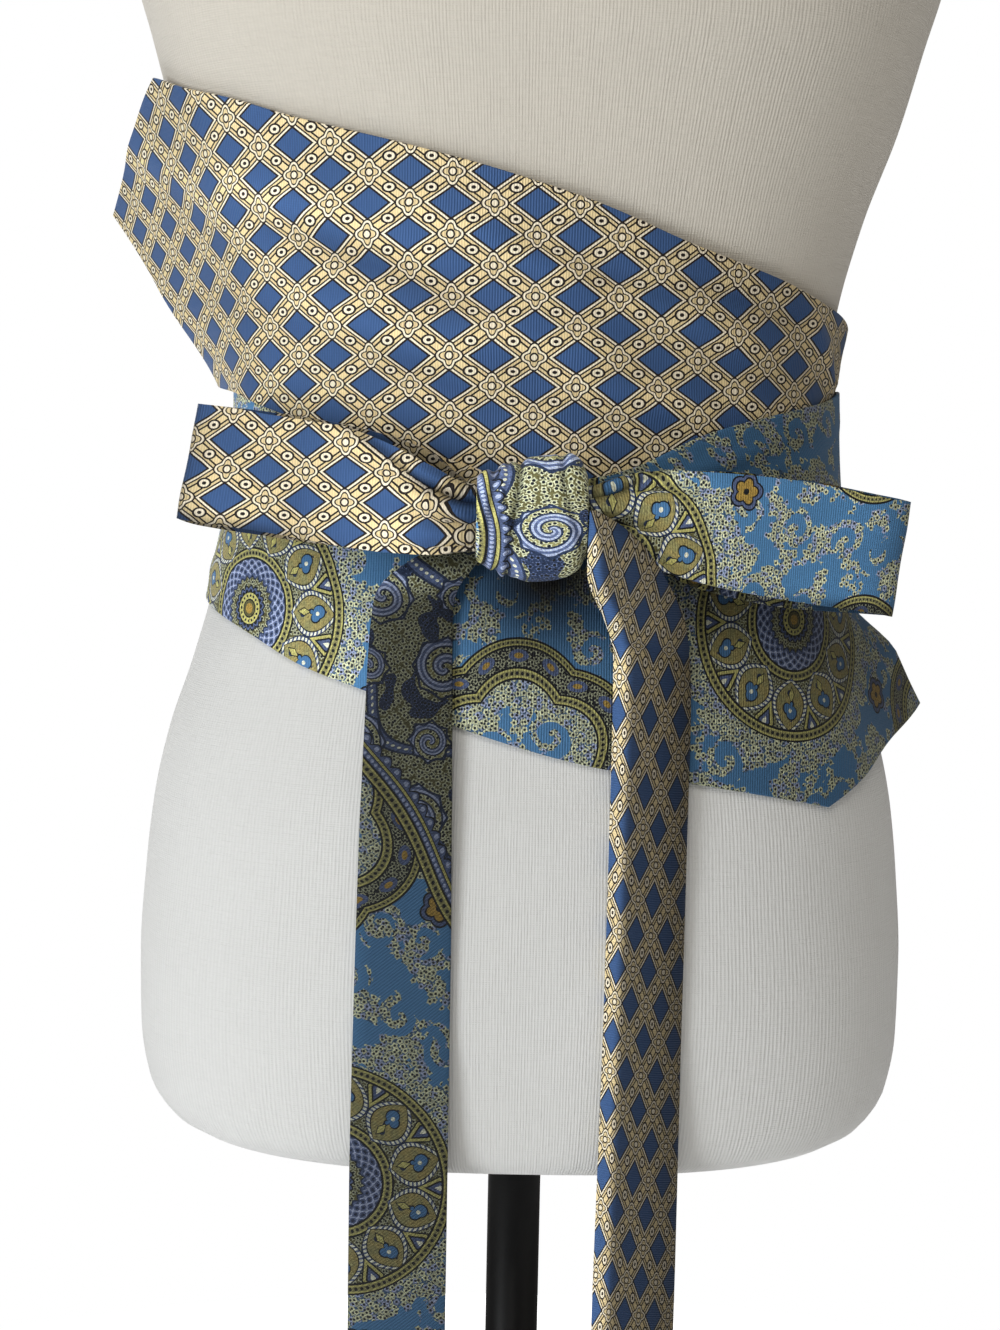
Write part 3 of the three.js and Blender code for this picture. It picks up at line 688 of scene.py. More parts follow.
class Recipe:
    """A material and its nodes."""

    def __init__(self, name, constants):
        self.material = bpy.data.materials.new(name)
        self.material.use_nodes = True
        self.tree = self.material.node_tree
        self.shader = self.tree.nodes["Principled BSDF"]
        for key, value in constants.items():
            self.shader.inputs[key].default_value = value

    def node(self, kind, settings=None, inputs=(), output=0):
        """Adds a node: its settings first, then the values or links of its sockets."""
        made = self.tree.nodes.new(kind)
        for key, value in (settings or {}).items():
            if key == "stops":
                self.stops(made.color_ramp, value)
            else:
                setattr(made, key, value)
        pairs = inputs.items() if isinstance(inputs, dict) else enumerate(inputs)
        for key, value in pairs:
            self.feed(made.inputs[key], value)
        return Value(self, made.outputs[output])

    def feed(self, socket, value):
        if isinstance(value, Value):
            self.tree.links.new(value.socket, socket)
        else:
            socket.default_value = value

    def stops(self, ramp, stops):
        """Flat steps of colour along a ramp."""
        ramp.interpolation = "CONSTANT"
        while len(ramp.elements) < len(stops):
            ramp.elements.new(1.0)
        for element, (place, colour) in zip(ramp.elements, stops):
            element.position = place
            element.color = (*colour, 1)

    def mix(self, share, a, b):
        """Colour a where share is 0 and colour b where it is 1."""
        a, b = [c if isinstance(c, Value) else (*c, 1) for c in (a, b)]
        return self.node(
            "ShaderNodeMix", {"data_type": "RGBA"}, {0: share, 6: a, 7: b}, output=2,
        )

    def layers(self, ground, *parts):
        """Lays colours over a ground, each where its mask is 1."""
        for mask, colour in parts:
            ground = self.mix(mask, ground, colour)
        return ground

    def shade(self, colour, share):
        """Multiplies a colour by a number."""
        return self.node(
            "ShaderNodeVectorMath", {"operation": "SCALE"}, {"Vector": colour, "Scale": share},
        )

    def point(self, x, y, z=0.0):
        return self.node("ShaderNodeCombineXYZ", None, (x, y, z))

    def parts(self, place):
        """x and y of a place."""
        x = self.node("ShaderNodeSeparateXYZ", None, (place,))
        return x, x.also(1)

    def flat_place(self):
        """Where a point lies on the flat cloth, in millimetres."""
        x, y = self.parts(self.node("ShaderNodeUVMap", {"uv_map": "cloth"}))
        return x / MM, y / MM

    # Reads the painted light and shade stored on the mesh, by which a silk's colour is multiplied.
    def gleam(self):
        return self.node("ShaderNodeAttribute", {"attribute_name": "gleam"}, output=2)

    def noise(self, place, size, detail=2.0):
        inputs = {"Vector": place, "Scale": 1 / size, "Detail": detail}
        return self.node("ShaderNodeTexNoise", None, inputs)

    def finish(self, colour, roughness=None, height=None, depth=0.0):
        """Links the colour, the roughness and a bump of the given depth in metres."""
        self.feed(self.shader.inputs["Base Color"], colour)
        if roughness is not None:
            self.feed(self.shader.inputs["Roughness"], roughness)
        if height is not None:
            inputs = {"Strength": 1.0, "Distance": depth, "Height": height}
            self.feed(self.shader.inputs["Normal"], self.node("ShaderNodeBump", None, inputs))
        return self.material


def paint(hex_code):
    """A colour written as on screen, turned into the renderer's linear values."""
    channels = [int(hex_code[i : i + 2], 16) / 255 for i in (0, 2, 4)]
    return tuple(c / 12.92 if c < 0.04 else ((c + 0.055) / 1.055) ** 2.4 for c in channels)


def tint(colour, share):
    return tuple(c * share for c in colour)


# ---- Silks --------------------------------------------------------------------------------
FOULARD = {
    "Metallic": 0.35, "Specular IOR Level": 0.25, "Sheen Weight": 0.1, "Sheen Roughness": 0.4,
}


def ribbed(x, pitch):
    """Ribs of the silk along one direction, from 0 in the valleys to 1 on the ribs."""
    return (x * (TURN / pitch)).sin() * 0.5 + 0.5


def dots(along, across, pitch, radius):
    """A row of round dots."""
    return along.centred(pitch).reach(across) < radius


def discs(radius, *steps):
    """Discs of colour that lie one inside another, each written as its (size, colour)."""
    return [(radius < size, colour) for size, colour in steps]


# The gold tie's print, with sizes in millimetres.
CELL_WIDTH = 34.0  # diagonals of a cell of the trellis
CELL_HEIGHT = 24.0
LINK_STEP = 17.5  # side of a cell, as the rings on its sides are drawn
BROWN_INK = paint("241d1a")
CREAM = paint("f4e8d0")


def gold_silk(settings):
    """Printed foulard: a trellis with a blue lozenge in each cell, a blossom on each crossing
    and a ring halfway between two blossoms."""
    recipe = Recipe("gold_silk", FOULARD)
    x, y = recipe.flat_place()
    p = x / CELL_WIDTH + y / CELL_HEIGHT
    q = x / CELL_WIDTH - y / CELL_HEIGHT
    near_p, near_q = p.centred(1), q.centred(1)
    far_p, far_q = (p + 0.5).centred(1), (q + 0.5).centred(1)

    gold, blue = tuple(settings.gold), tuple(settings.blue)
    ground = recipe.node("ShaderNodeValToRGB", {"stops": (
        (0.0, blue), (0.246, BROWN_INK), (0.282, CREAM), (0.322, BROWN_INK), (0.352, gold),
        (0.402, BROWN_INK), (0.436, tint(gold, 1.12)),
    )}, (abs(near_p).most(abs(near_q)),))

    across = (far_p + far_q) * (CELL_WIDTH / 2)
    along = (far_p - far_q) * (CELL_HEIGHT / 2)
    heart = across.reach(along)
    blossom = heart - (along.angle_to(across) * 4).cos() * 0.8
    ground = recipe.layers(
        ground,
        *discs(blossom, (5.0, BROWN_INK), (4.3, CREAM), (3.4, BROWN_INK), (2.8, gold)),
        *discs(heart, (1.9, BROWN_INK), (1.2, CREAM)),
    )
    for a, b in ((far_p, near_q), (near_p, far_q)):
        ring = (a * LINK_STEP).reach(b * LINK_STEP)
        ground = recipe.layers(
            ground, *discs(ring, (2.3, BROWN_INK), (1.6, CREAM), (0.7, BROWN_INK)),
        )

    rib, weft = ribbed(x, settings.rib / MM), ribbed(y, 0.62)
    uneven = recipe.noise(recipe.point(x, y), 26.0, 3.0)
    # The ribs, weft and unevenness are the silk's own tone; the painted light and shade on the mesh
    # multiplies it.
    tone = (0.82 + rib * 0.21 + weft * 0.04 + uneven * 0.14) * recipe.gleam()
    height = rib + weft * 0.25
    return recipe.finish(recipe.shade(ground, tone), 0.42 + uneven * 0.14, height, 0.00016)


# The paisley tie's weave, with sizes in millimetres.
MEDALLION_STEP = 126.0  # from one column of medallions to the next
MEDALLION_DROP = 145.0  # between medallions in a column
FRAME_DROP = 60.0  # how far the frames between them lie below the medallions
MEDALLION_PHASE = 28.0  # from the foot of the medallions' length to its first centre
MEDALLION_LENGTH = 290.0
PRINT_LENGTH = 420.0  # the print's repeat, a length of medallions and one of scrollwork
SEED_STEP = 2.3  # between the dark seeds of the leaves
SEED = 0.56  # radius of a seed

INK = paint("191d22")
SEED_INK = paint("2b3138")
NAVY = paint("27344f")
SLATE = paint("56658a")
SHADOW = paint("486584")
PERIWINKLE = paint("a6b2d2")
BLUE_BUD = paint("4b78a6")
YELLOW = paint("bcb874")
OLIVE = paint("8f8d62")
DARK_OLIVE = paint("5f5d3c")
OLD_GOLD = paint("a0945f")
OCHRE = paint("a88b45")
PALE = paint("e9ecd6")
SPRIG = paint("dfe4bf")


def beaded(recipe, ground, along, across, half_width, pitch):
    """A yellow border edged with ink, with a row of dark beads down its middle."""
    steps = (half_width + 0.9, INK), (half_width, YELLOW), (half_width * 0.6, OLIVE)
    bead = dots(along, across, pitch, half_width * 0.42)
    return recipe.layers(ground, *discs(abs(across), *steps), (bead, INK))


def leaves(recipe, settings, place, leafy):
    """Blue ground with sprays of small rosettes, pale petals round a dark seed, wherever
    leafy is high enough. Also returns how far each place is from its rosette's rim and seed."""
    cells = recipe.node("ShaderNodeTexVoronoi", None, {
        "Vector": place, "Scale": 1 / SEED_STEP, "Randomness": 0.75,
    })
    middle = cells.also("Position")
    gap = recipe.node("ShaderNodeVectorMath", {"operation": "SUBTRACT"}, (place, middle))
    across, along = recipe.parts(gap)
    kind = recipe.node("ShaderNodeSeparateColor", None, (cells.also("Color"),))
    seed = across.reach(along)
    rosette = seed + abs((along.angle_to(across) * 2.5 + kind * 6.0).sin()) * 0.5
    spray = recipe.noise(middle, 15.0, 2.0) + leafy > 0.52
    shadow = recipe.noise(place, 15.0, 2.0) + leafy > 0.55
    petals = spray * (rosette < 1.6)
    ground = recipe.layers(
        tuple(settings.sky), (shadow, SHADOW),
        (petals, recipe.mix(kind > 0.68, tuple(settings.leaf), SPRIG)),
        (petals * (kind < 0.24), PERIWINKLE), (spray * (seed < SEED), SEED_INK),
    )
    return ground, rosette, seed


PETALS = 11
PETAL_MIDDLE = 36.0  # radii of the medallion's parts
LACE_RIM = 23.0
MEDALLION_RIM = 48.2


def medallion(recipe, settings, ground, r, theta, rosette, seed):
    """An eye, a lace ring and a beaded ring, then a ring of petals within a beaded border."""
    field = recipe.layers(
        DARK_OLIVE, (rosette < 1.35, tint(settings.leaf, 0.7)), (seed < 0.5, INK),
    )
    scallop = r + abs((theta * 12.0).sin()) * 1.6
    tuft = r - abs((theta * 9.0).sin()) * 1.4
    lace = abs((theta * 24.0).sin() + (r * 1.7).sin())
    in_lace = r < LACE_RIM
    rings = recipe.layers(
        field, ((scallop > 13.8) * in_lace, NAVY), ((scallop > 14.6) * in_lace, SLATE),
        ((scallop > 15.4) * in_lace * (lace < 0.45), PERIWINKLE),
        ((scallop > 15.4) * in_lace * (lace > 1.5), NAVY),
        *discs(tuft, (8.6, INK), (7.8, SLATE), (6.8, INK)),
        (r < 6.6, YELLOW), (dots(theta * 5.4, r - 5.3, 2.1, 0.55), INK),
        *discs(r, (4.0, INK), (3.4, DARK_OLIVE), (2.2, OCHRE)),
    )
    rings = beaded(recipe, rings, theta * 24.0, r - (LACE_RIM + 0.6), 1.7, 2.4)

    # Each petal is an almond with a beaded rim, which holds a floret, a stalk and a bud.
    petal, step = theta * (PETALS / TURN), r * (TURN / PETALS)
    px, py = petal.centred(1) * step, r - PETAL_MIDDLE
    almond = abs(px) / 9.2 + py * py / 122.0
    beads = (py * (TURN / 1.7)).sin() > -0.2
    heart = px.reach(py - 2.0)
    floret = heart - abs((py.angle_to(px) * 1.5).sin()) * 1.6
    bud = abs(px - 0.6) / 1.4 + abs(py + 4.6) / 2.8
    stalk = abs(px + (py * 0.9).sin() * 1.3)
    golden = recipe.noise(recipe.point(px, py), 5.0, 1.0).ease(0.35, 0.65)
    dart = abs((petal + 0.5).centred(1) * step) / 4.6 + abs(r - 45.0) / 9.0
    rings = recipe.layers(
        rings,
        *discs(dart, (1.15, INK), (1.0, YELLOW), (0.72, INK), (0.55, SLATE), (0.25, PALE)),
        *discs(almond, (1.10, NAVY), (1.03, SLATE)), ((almond < 1.03) * beads, PALE),
        *discs(almond, (0.86, INK), (0.80, recipe.mix(golden, OLIVE, OLD_GOLD))),
        ((stalk < 0.5) * py.between(-6.5, 6.5), NAVY),
        *discs(bud, (1.3, INK), (1.0, YELLOW)),
        *discs(floret, (2.7, INK), (2.1, BLUE_BUD)), (heart < 0.9, PALE),
    )
    rings = beaded(recipe, rings, theta * 48.0, r - MEDALLION_RIM, 1.7, 2.5)
    return recipe.mix(r < MEDALLION_RIM + 2.4, ground, rings)


# Curls of the scrollwork: their radius, the way they turn, and their shift within a repeat.
CURLS = ((12.5, 1, 0.0), (8.5, -1, 0.5))
CURL_STEP = 39.0
CURL_DROP = 46.0


def scrollwork(recipe, settings, x, y, rosette, seed):
    """Curls and vines in slate, outlined in navy, over olive leaves."""
    leaf = tuple(settings.leaf)
    patch = recipe.noise(recipe.point(x, y), 16.0, 1.0) > 0.42
    vine = (y + (x / 9.0).sin() * 7 + (x / 23.0).sin() * 9).centred(CURL_DROP)
    work = recipe.layers(
        NAVY, (rosette < 1.15, SLATE), (patch, DARK_OLIVE),
        (patch * (rosette < 1.4), tint(leaf, 0.85)), (seed < SEED, INK),
        *discs(abs(vine), (3.0, NAVY), (2.0, SLATE)), (dots(x, vine, 2.2, 0.6), PALE),
    )
    for radius, way, shift in CURLS:
        across = (x + CURL_STEP * shift).centred(CURL_STEP)
        along = (y + CURL_DROP * (0.5 + shift)).centred(CURL_DROP)
        r = (across * across + along * along * 1.15).root()
        angle = along.angle_to(across)
        coil = abs((angle * (way / TURN) + r / (radius * 0.55)).centred(1))
        edge = radius - abs((angle * 4.0).sin()) * 1.6
        inside = r < edge
        work = recipe.layers(
            work, (r < edge + 1.1, NAVY), (inside, OLIVE), (inside * (rosette < 1.35), leaf),
            (inside * (seed < 0.6), INK), (inside * (coil < 0.34), NAVY),
            (inside * (coil < 0.22), PERIWINKLE), (inside * (coil < 0.08), SLATE),
        )
    return work


def fruit_frame(recipe, settings, ground, eye, rim, theta, rosette, seed):
    """A scalloped frame between two beaded borders, with buds along it and an eye inside."""
    band = rim.between(0, 12)
    along, across = theta * (180 / TURN), rim - 7.2
    frame = recipe.layers(
        ground, *discs(eye, (3.6, INK), (2.9, SLATE), (1.4, OCHRE)), (band, INK),
        (band * (rosette < 1.4), tint(settings.leaf, 0.6)), (band * (seed < 0.55), INK),
        (dots(along, across, 9.0, 2.6), SLATE), (dots(along, across, 9.0, 1.2), OCHRE),
    )
    frame = beaded(recipe, frame, theta * 46.0, rim, 1.8, 2.6)
    return beaded(recipe, frame, theta * 57.0, rim - 12.6, 1.2, 2.2)


def paisley_silk(settings):
    """Woven paisley: beaded medallions, scalloped frames and little leaves on blue, then a
    length of scrollwork."""
    recipe = Recipe("paisley_silk", FOULARD)
    x, y = recipe.flat_place()
    place = recipe.point(x, y)

    column = (x / MEDALLION_STEP + 0.5).floor()
    odd = column.remainder(2.0)
    across = x - column * MEDALLION_STEP
    along = (y - MEDALLION_PHASE + odd * FRAME_DROP).centred(MEDALLION_DROP)
    r, theta = across.reach(along), along.angle_to(across)
    rim = r - 33.0 - abs((theta * 3.0).sin()) * 6
    eye = (across * across * 0.35 + along * along).root()

    # Leaves grow round the medallions, inside the frames and in curls over the ground.
    fringe = r.between(50, 72) * (1 - r.ease(51, 66)) * (1 - odd)
    fringe = fringe + odd * rim.between(-17, 0) * (1 - (-rim).ease(3, 16))
    curl_x = (x + along * 0.3).centred(27)
    curl_y = (y - across * 0.2).centred(31)
    curl_r = curl_x.reach(curl_y)
    curl = (curl_y.angle_to(curl_x) + curl_r * 0.75).sin() * (1 - curl_r.ease(5, 13))
    leafy = fringe * 0.38 + curl * 0.19 + 0.015 + odd * 0.3 * (1 - eye.ease(4, 10))
    ground, rosette, seed = leaves(recipe, settings, place, leafy)

    flower_x = (x - MEDALLION_STEP / 2).centred(MEDALLION_STEP)
    flower_y = (y - MEDALLION_PHASE - MEDALLION_DROP / 4).centred(MEDALLION_DROP / 2)
    heart = flower_x.reach(flower_y)
    flower = heart - abs((flower_y.angle_to(flower_x) * 2.5).sin()) * 1.8
    ground = recipe.mix(
        odd > 0.5, medallion(recipe, settings, ground, r, theta, rosette, seed),
        fruit_frame(recipe, settings, ground, eye, rim, theta, rosette, seed),
    )
    ground = recipe.layers(
        ground, *discs(flower, (6.4, INK), (5.6, SLATE), (4.2, INK), (3.4, OCHRE)),
        (heart < 1.3, INK),
    )

    # The length of scrollwork has a wavy beaded edge with lace inside it.
    bend = y + (x / 27.0).sin() * 6 + (x / 13.0).sin() * 1.6
    repeat = bend.wrap(PRINT_LENGTH, 0.0)
    edge = (repeat - MEDALLION_LENGTH).least(PRINT_LENGTH - repeat)
    scallop = edge - 7.6 - abs((x * (TURN / 12.0)).sin()) * 2.6
    band, lace = edge.between(2, 6), edge.between(5, 13)
    both = recipe.layers(
        ground, (edge > 0, scrollwork(recipe, settings, x, y, rosette, seed)),
        (band + lace * (scallop < 0.8), INK), (band + lace * (scallop < 0.0), SLATE),
        (dots(x, edge - 3.9, 2.2, 0.75) + dots(x + 3.0, edge - 8.6, 6.0, 1.0), PERIWINKLE),
        *discs(abs(edge - 6.0), (0.9, INK), (0.5, YELLOW)),
    )
    both = beaded(recipe, both, x, edge, 1.9, 2.6)

    rib, weft = ribbed(x, settings.rib / MM), ribbed(y, 0.7)
    uneven = recipe.noise(place, 30.0, 3.0)
    red = recipe.node("ShaderNodeSeparateColor", None, (both,))
    figured = red.also("Blue") - red < 0.3
    stitch = recipe.noise(recipe.point((x + y) / 1.7, (x - y) / 0.9), 1.0, 1.0) - 0.5
    woven = 0.80 + rib * 0.20 + weft * 0.05 + uneven * 0.10 + stitch * (0.25 + figured * 1.5)
    height = rib * 0.8 + weft * 0.3 - seed * 0.2 + stitch * figured * 2.0
    # The painted light and shade on the mesh multiplies the woven colour.
    colour = recipe.shade(both, woven * recipe.gleam())
    return recipe.finish(colour, 0.48 + uneven * 0.12, height, 0.00022)


def reverse_silk(name, colour):
    """The plain reverse of an opened tie."""
    recipe = Recipe(name, {"Sheen Weight": 0.2, "Sheen Roughness": 0.5})
    x, y = recipe.flat_place()
    weave = ribbed(x + y, 1.4) * ribbed(x - y, 1.4)
    uneven = recipe.noise(recipe.point(x, y), 14.0)
    ground = recipe.mix(uneven, colour, tint(colour, 0.8))
    return recipe.finish(recipe.shade(ground, 0.85 + weave * 0.2), 0.75, weave, 0.0002)


SILKS = {}


def silk(name, settings):
    """The silk of that name, made once."""
    makers = {
        "gold_silk": gold_silk,
        "gold_reverse": lambda settings: reverse_silk("gold_reverse", paint("c9b68c")),
        "paisley_silk": paisley_silk,
        "paisley_reverse": lambda settings: reverse_silk("paisley_reverse", paint("8f9a94")),
    }
    if name not in SILKS:
        SILKS[name] = makers[name](settings)
    return SILKS[name]


# ---- Linen and steel ----------------------------------------------------------------------
def linen_cover(settings):
    """Off-white cover of the form, with fine upright ribs and slubs, painted warmer and darker on
    the bodice as a stand-in for warm room light falling there.
    """
    recipe = Recipe(
        "linen_cover", {"Sheen Weight": 0.3, "Sheen Roughness": 0.6, "Specular IOR Level": 0.2},
    )
    x, y = recipe.flat_place()
    rib, weft = ribbed(x, settings.linen_rib / MM), ribbed(y, 0.9)
    slub = recipe.noise(recipe.point(x / 1.1, y / 14.0), 1.0)
    cross = recipe.noise(recipe.point(x / 12.0, y / 1.1), 1.0)
    wide = recipe.noise(recipe.point(x, y), 60.0)
    bodice = y.ease(-40, 60)
    tone = 0.87 + rib * (0.055 - bodice * 0.02) + slub * 0.07 + cross * (0.03 + bodice * 0.06)
    linen = tuple(settings.linen)
    # Painted shade: the bodice is mixed towards a darker, warmer linen, standing in for the warm
    # room light on the upper torso.
    warm = tuple(channel * share for channel, share in zip(linen, (0.93, 0.87, 0.78)))
    colour = recipe.shade(recipe.mix(bodice, linen, warm), tone + wide * 0.05)
    return recipe.finish(colour, 0.85, rib * 0.5 + slub + cross + weft * 0.2, 0.00022)


def black_paint():
    """Satin black paint with a faint orange peel and dusty wear."""
    recipe = Recipe("black_paint", {"Metallic": 0.0, "Specular IOR Level": 0.25})
    place = recipe.node("ShaderNodeTexCoord", output=3)
    peel = recipe.noise(place, 0.002)
    dust = recipe.noise(place, 0.05, 4.0)
    colour = recipe.mix(dust.ease(0.45, 0.8), paint("030304"), paint("0b0b0d"))
    return recipe.finish(colour, 0.34 + dust * 0.18, peel, 0.00006)


FLOOR_REACH = 1.5  # radius of the studio floor in metres


def grey(level):
    return (level, level, level)


def floor_paint():
    """Pale studio floor that glows, dimly in its middle and more brightly towards its rim, so
    that it fades to white towards its rim.
    """
    constants = {"Roughness": 0.95, "Specular IOR Level": 0.0, "Emission Strength": 1.0}
    recipe = Recipe("studio_floor", constants)
    place = recipe.node("ShaderNodeTexCoord", output=3)
    soft = recipe.noise(place, 0.7, 1.0)
    reach = recipe.node("ShaderNodeVectorMath", {"operation": "LENGTH"}, (place,), output=1)
    glow = recipe.mix(reach.ease(0.35, FLOOR_REACH), grey(0.28), grey(0.95))
    recipe.feed(recipe.shader.inputs["Emission Color"], glow)
    return recipe.finish(recipe.mix(soft, grey(0.88), grey(0.9)))


# ---- The form -----------------------------------------------------------------------------
POLE_FIT = 0.35  # clearance round the pole in its sockets
UNROLLED = 900  # width of the torso's cover, laid flat


def torso_mesh():
    """The padded torso: a closed skin rolled round the body, with the pole's socket in its
    flat foot and a domed top to its neck."""
    columns, rows = 160, 190
    socket_rows, foot_rows, top_rows = 2, 12, 10
    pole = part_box("form_pole")[1] / MM
    socket, socket_top = pole.x + POLE_FIT, pole.z + POLE_FIT

    def height_at(v):
        body = (v * rows - foot_rows) / (rows - foot_rows - top_rows)
        return FORM_FOOT + min(max(body, 0), 1) * (FORM_TOP - FORM_FOOT)

    def place(u, v):
        angle = (u - 0.5) * TURN
        height = WAIST + height_at(v)
        radius = form_radius(angle, height_at(v))
        step = v * rows
        if step < foot_rows:
            outward = max(step - socket_rows, 0) / (foot_rows - socket_rows)
            radius = lerp(socket, radius, outward) * min(step, 1)
        if step < socket_rows - 0.5:
            height = socket_top
        if step > rows - top_rows:
            inward = (step - rows + top_rows) / top_rows
            radius *= math.cos(inward * math.pi / 2)
        return (-radius * math.sin(angle), -radius * math.cos(angle), height)

    def measure(u, v):
        return ((0.5 - u) * UNROLLED, height_at(v))

    return rolled(columns, rows, place, measure)


def turned(profile, steps=96):
    """A solid of revolution about the upright axis, from a profile of (radius, height)."""
    mesh = bmesh.new()
    verts = [mesh.verts.new(Vector((radius, 0, height)) * MM) for radius, height in profile]
    edges = [mesh.edges.new(pair) for pair in zip(verts, verts[1:])]
    bmesh.ops.spin(
        mesh, geom=verts + edges, cent=(0, 0, 0), axis=(0, 0, 1), angle=TURN, steps=steps,
        use_merge=True,
    )
    bmesh.ops.remove_doubles(mesh, verts=mesh.verts, dist=WELD)
    bmesh.ops.recalc_face_normals(mesh, faces=mesh.faces)
    return mesh


def base_profile(rim, hub_top, bore):
    """Half the outline of the round base: a plate with a rounded rim, and a hub on it."""
    hub, plate = 21, 10
    return [
        (0, 0), (rim - 1.2, 0), (rim, 1.2), (rim, 4), (rim - 0.6, 5.6), (rim - 4, plate),
        (hub + 26, plate + 2), (hub + 7, plate + 4.2), (hub + 2, plate + 8), (hub, plate + 14),
        (hub, hub_top - 4), (hub - 1, hub_top - 1.2), (hub - 4, hub_top),
        (bore, hub_top), (bore, plate), (0, plate),
    ]


def build_form(settings):
    """The torso in its linen cover, the pole and the base."""
    torso = finished("linen_torso", torso_mesh(), [linen_cover(settings)])
    dress(torso, "form_torso", "linen")

    black = black_paint()
    foot, top = [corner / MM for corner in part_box("form_pole")]
    outline = [(0, foot.z), (top.x, foot.z), (top.x, top.z), (0, top.z)]
    pole = finished("steel_pole", turned(outline), [black])
    dress(pole, "form_pole", "black_steel")

    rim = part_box("form_base")[1] / MM
    outline = base_profile(rim.x, rim.z, top.x + POLE_FIT)
    base = finished("steel_base", turned(outline, 128), [black], [soft_edge(0.4)])
    dress(base, "form_base", "black_steel")


# ---- Bands of the ties --------------------------------------------------------------------
MM_PER_DEGREE = 2.1  # of turn, along the cloth at the waist
UNEVEN_RISE = 0.4  # height of a tie's unevenness, and the size of its swells
UNEVEN_SIZE = 38
HEM = 0.35  # how far a tie's turned edges lie lower than its middle
FREE_RISE = 3  # how high the gold tie's creases may rise, and how high under the paisley tie
COVERED_RISE = 0.25


def band_radius(turn, height, blade):
    """Radius of a blade's front end: on the form, or on the tangent line along which its
    free end leaves it."""
    angle = abs(math.radians(turn))
    resting = form_radius(angle, height)
    facing = math.radians(blade.facing)
    section = form_section(height)
    wide, deep = section.half_width, section.front
    dual = section.power / (section.power - 1)
    nx, ny = math.sin(facing), math.cos(facing)
    support = ((wide * nx) ** dual + (deep * ny) ** dual) ** (1 / dual)
    touch_x = wide * (wide * nx / support) ** (dual - 1)
    touch_y = deep * (deep * ny / support) ** (dual - 1)
    if angle <= math.atan2(touch_x, touch_y):
        return resting
    straight = support / math.cos(angle - facing)
    from_held = (height - blade.held) / (blade.free - blade.held)
    return lerp(resting, straight, ease(0, 1, from_held))


def crease_relief(creases, turn, height):
    """Height of the creases at a place on a tie."""
    relief = 0
    for crease in creases:
        ax, ay = crease.turn * MM_PER_DEGREE, crease.height
        dx, dy = crease.to_turn * MM_PER_DEGREE - ax, crease.to_height - ay
        px, py = turn * MM_PER_DEGREE - ax, height - ay
        t = min(max((px * dx + py * dy) / (dx * dx + dy * dy), 0), 1)
        off = math.hypot(px - t * dx, py - t * dy)
        if off < 3 * crease.width:
            relief += crease.rise * bump(off, 0, crease.width) * (1 - (2 * t - 1) ** 4 * 0.7)
    return relief


def band_surface(tie):
    """place(turn, v) on the inner face of a tie, its painted light and shade at (turn, v), its
    radius on the form at a turn and height, and its height at a turn and v."""
    edges, lift, flare, painted_light_at = [
        curves(table) for table in (tie.run, tie.lift, tie.flare, tie.gleam)
    ]
    creases = rows_of(tie.creases)
    over = curves(PAISLEY_RUN)
    gold = tie is GOLD_TIE

    def height_at(turn, v):
        edge = edges(turn)
        return lerp(edge.bottom, edge.top, v)

    def radius_at(turn, height):
        if turn < 0:
            return band_radius(turn, height, tie.blade)
        return form_radius(math.radians(turn * tie.direction), height)

    def most_rise(turn, height):
        """How far the gold tie may rise, which is little where the paisley one lies on it."""
        edge = over(360 - turn)
        under = ease(edge.top + 6, edge.top, height) * ease(edge.bottom - 6, edge.bottom, height)
        return lerp(FREE_RISE, COVERED_RISE, under * ease(182, 172, turn) * ease(0, 3, turn))

    def relief_at(turn, height):
        relief = crease_relief(creases, turn, height)
        relief += UNEVEN_RISE * ripple(turn * MM_PER_DEGREE, height, tie.seed, UNEVEN_SIZE)
        if gold:
            sink = lerp(0.75, 2.4, ease(38, 52, height))
            return max(min(relief, most_rise(turn, height)), -sink)
        return max(relief, -0.6)

    # Painted light and shade: each turn's painted brightness, a painted highlight on the ridges of
    # creases and painted shade in their troughs, and on the front of the paisley tie a painted
    # shadow under the knot and under the loops.
    def gleam(turn, v):
        height = height_at(turn, v)
        painted_shine = painted_light_at(turn).gleam * (1 + 0.1 * relief_at(turn, height))
        if gold or turn > 90:
            return painted_shine
        across = turn * tie.direction * MM_PER_DEGREE
        painted_shadow_under_knot = bump(math.hypot((across - 8) / 42, (height + 60) / 32), 0, 1)
        painted_shadow_under_loops = bump(height, -44, 22) * ease(150, 90, abs(across))
        return painted_shine * (1 - 0.8 * painted_shadow_under_knot - 0.3 * painted_shadow_under_loops)

    def place(turn, v):
        height = height_at(turn, v)
        hem = HEM * (bump(v, 0, 0.05) + bump(v, 1, 0.05))
        off = radius_at(turn, height) + lift(turn).lift + flare(turn).flare * ease(0.78, 1, v)
        off += relief_at(turn, height) - hem
        angle = math.radians(turn * tie.direction)
        return (off * math.sin(angle), -off * math.cos(angle), WAIST + height)

    return place, gleam, radius_at, height_at


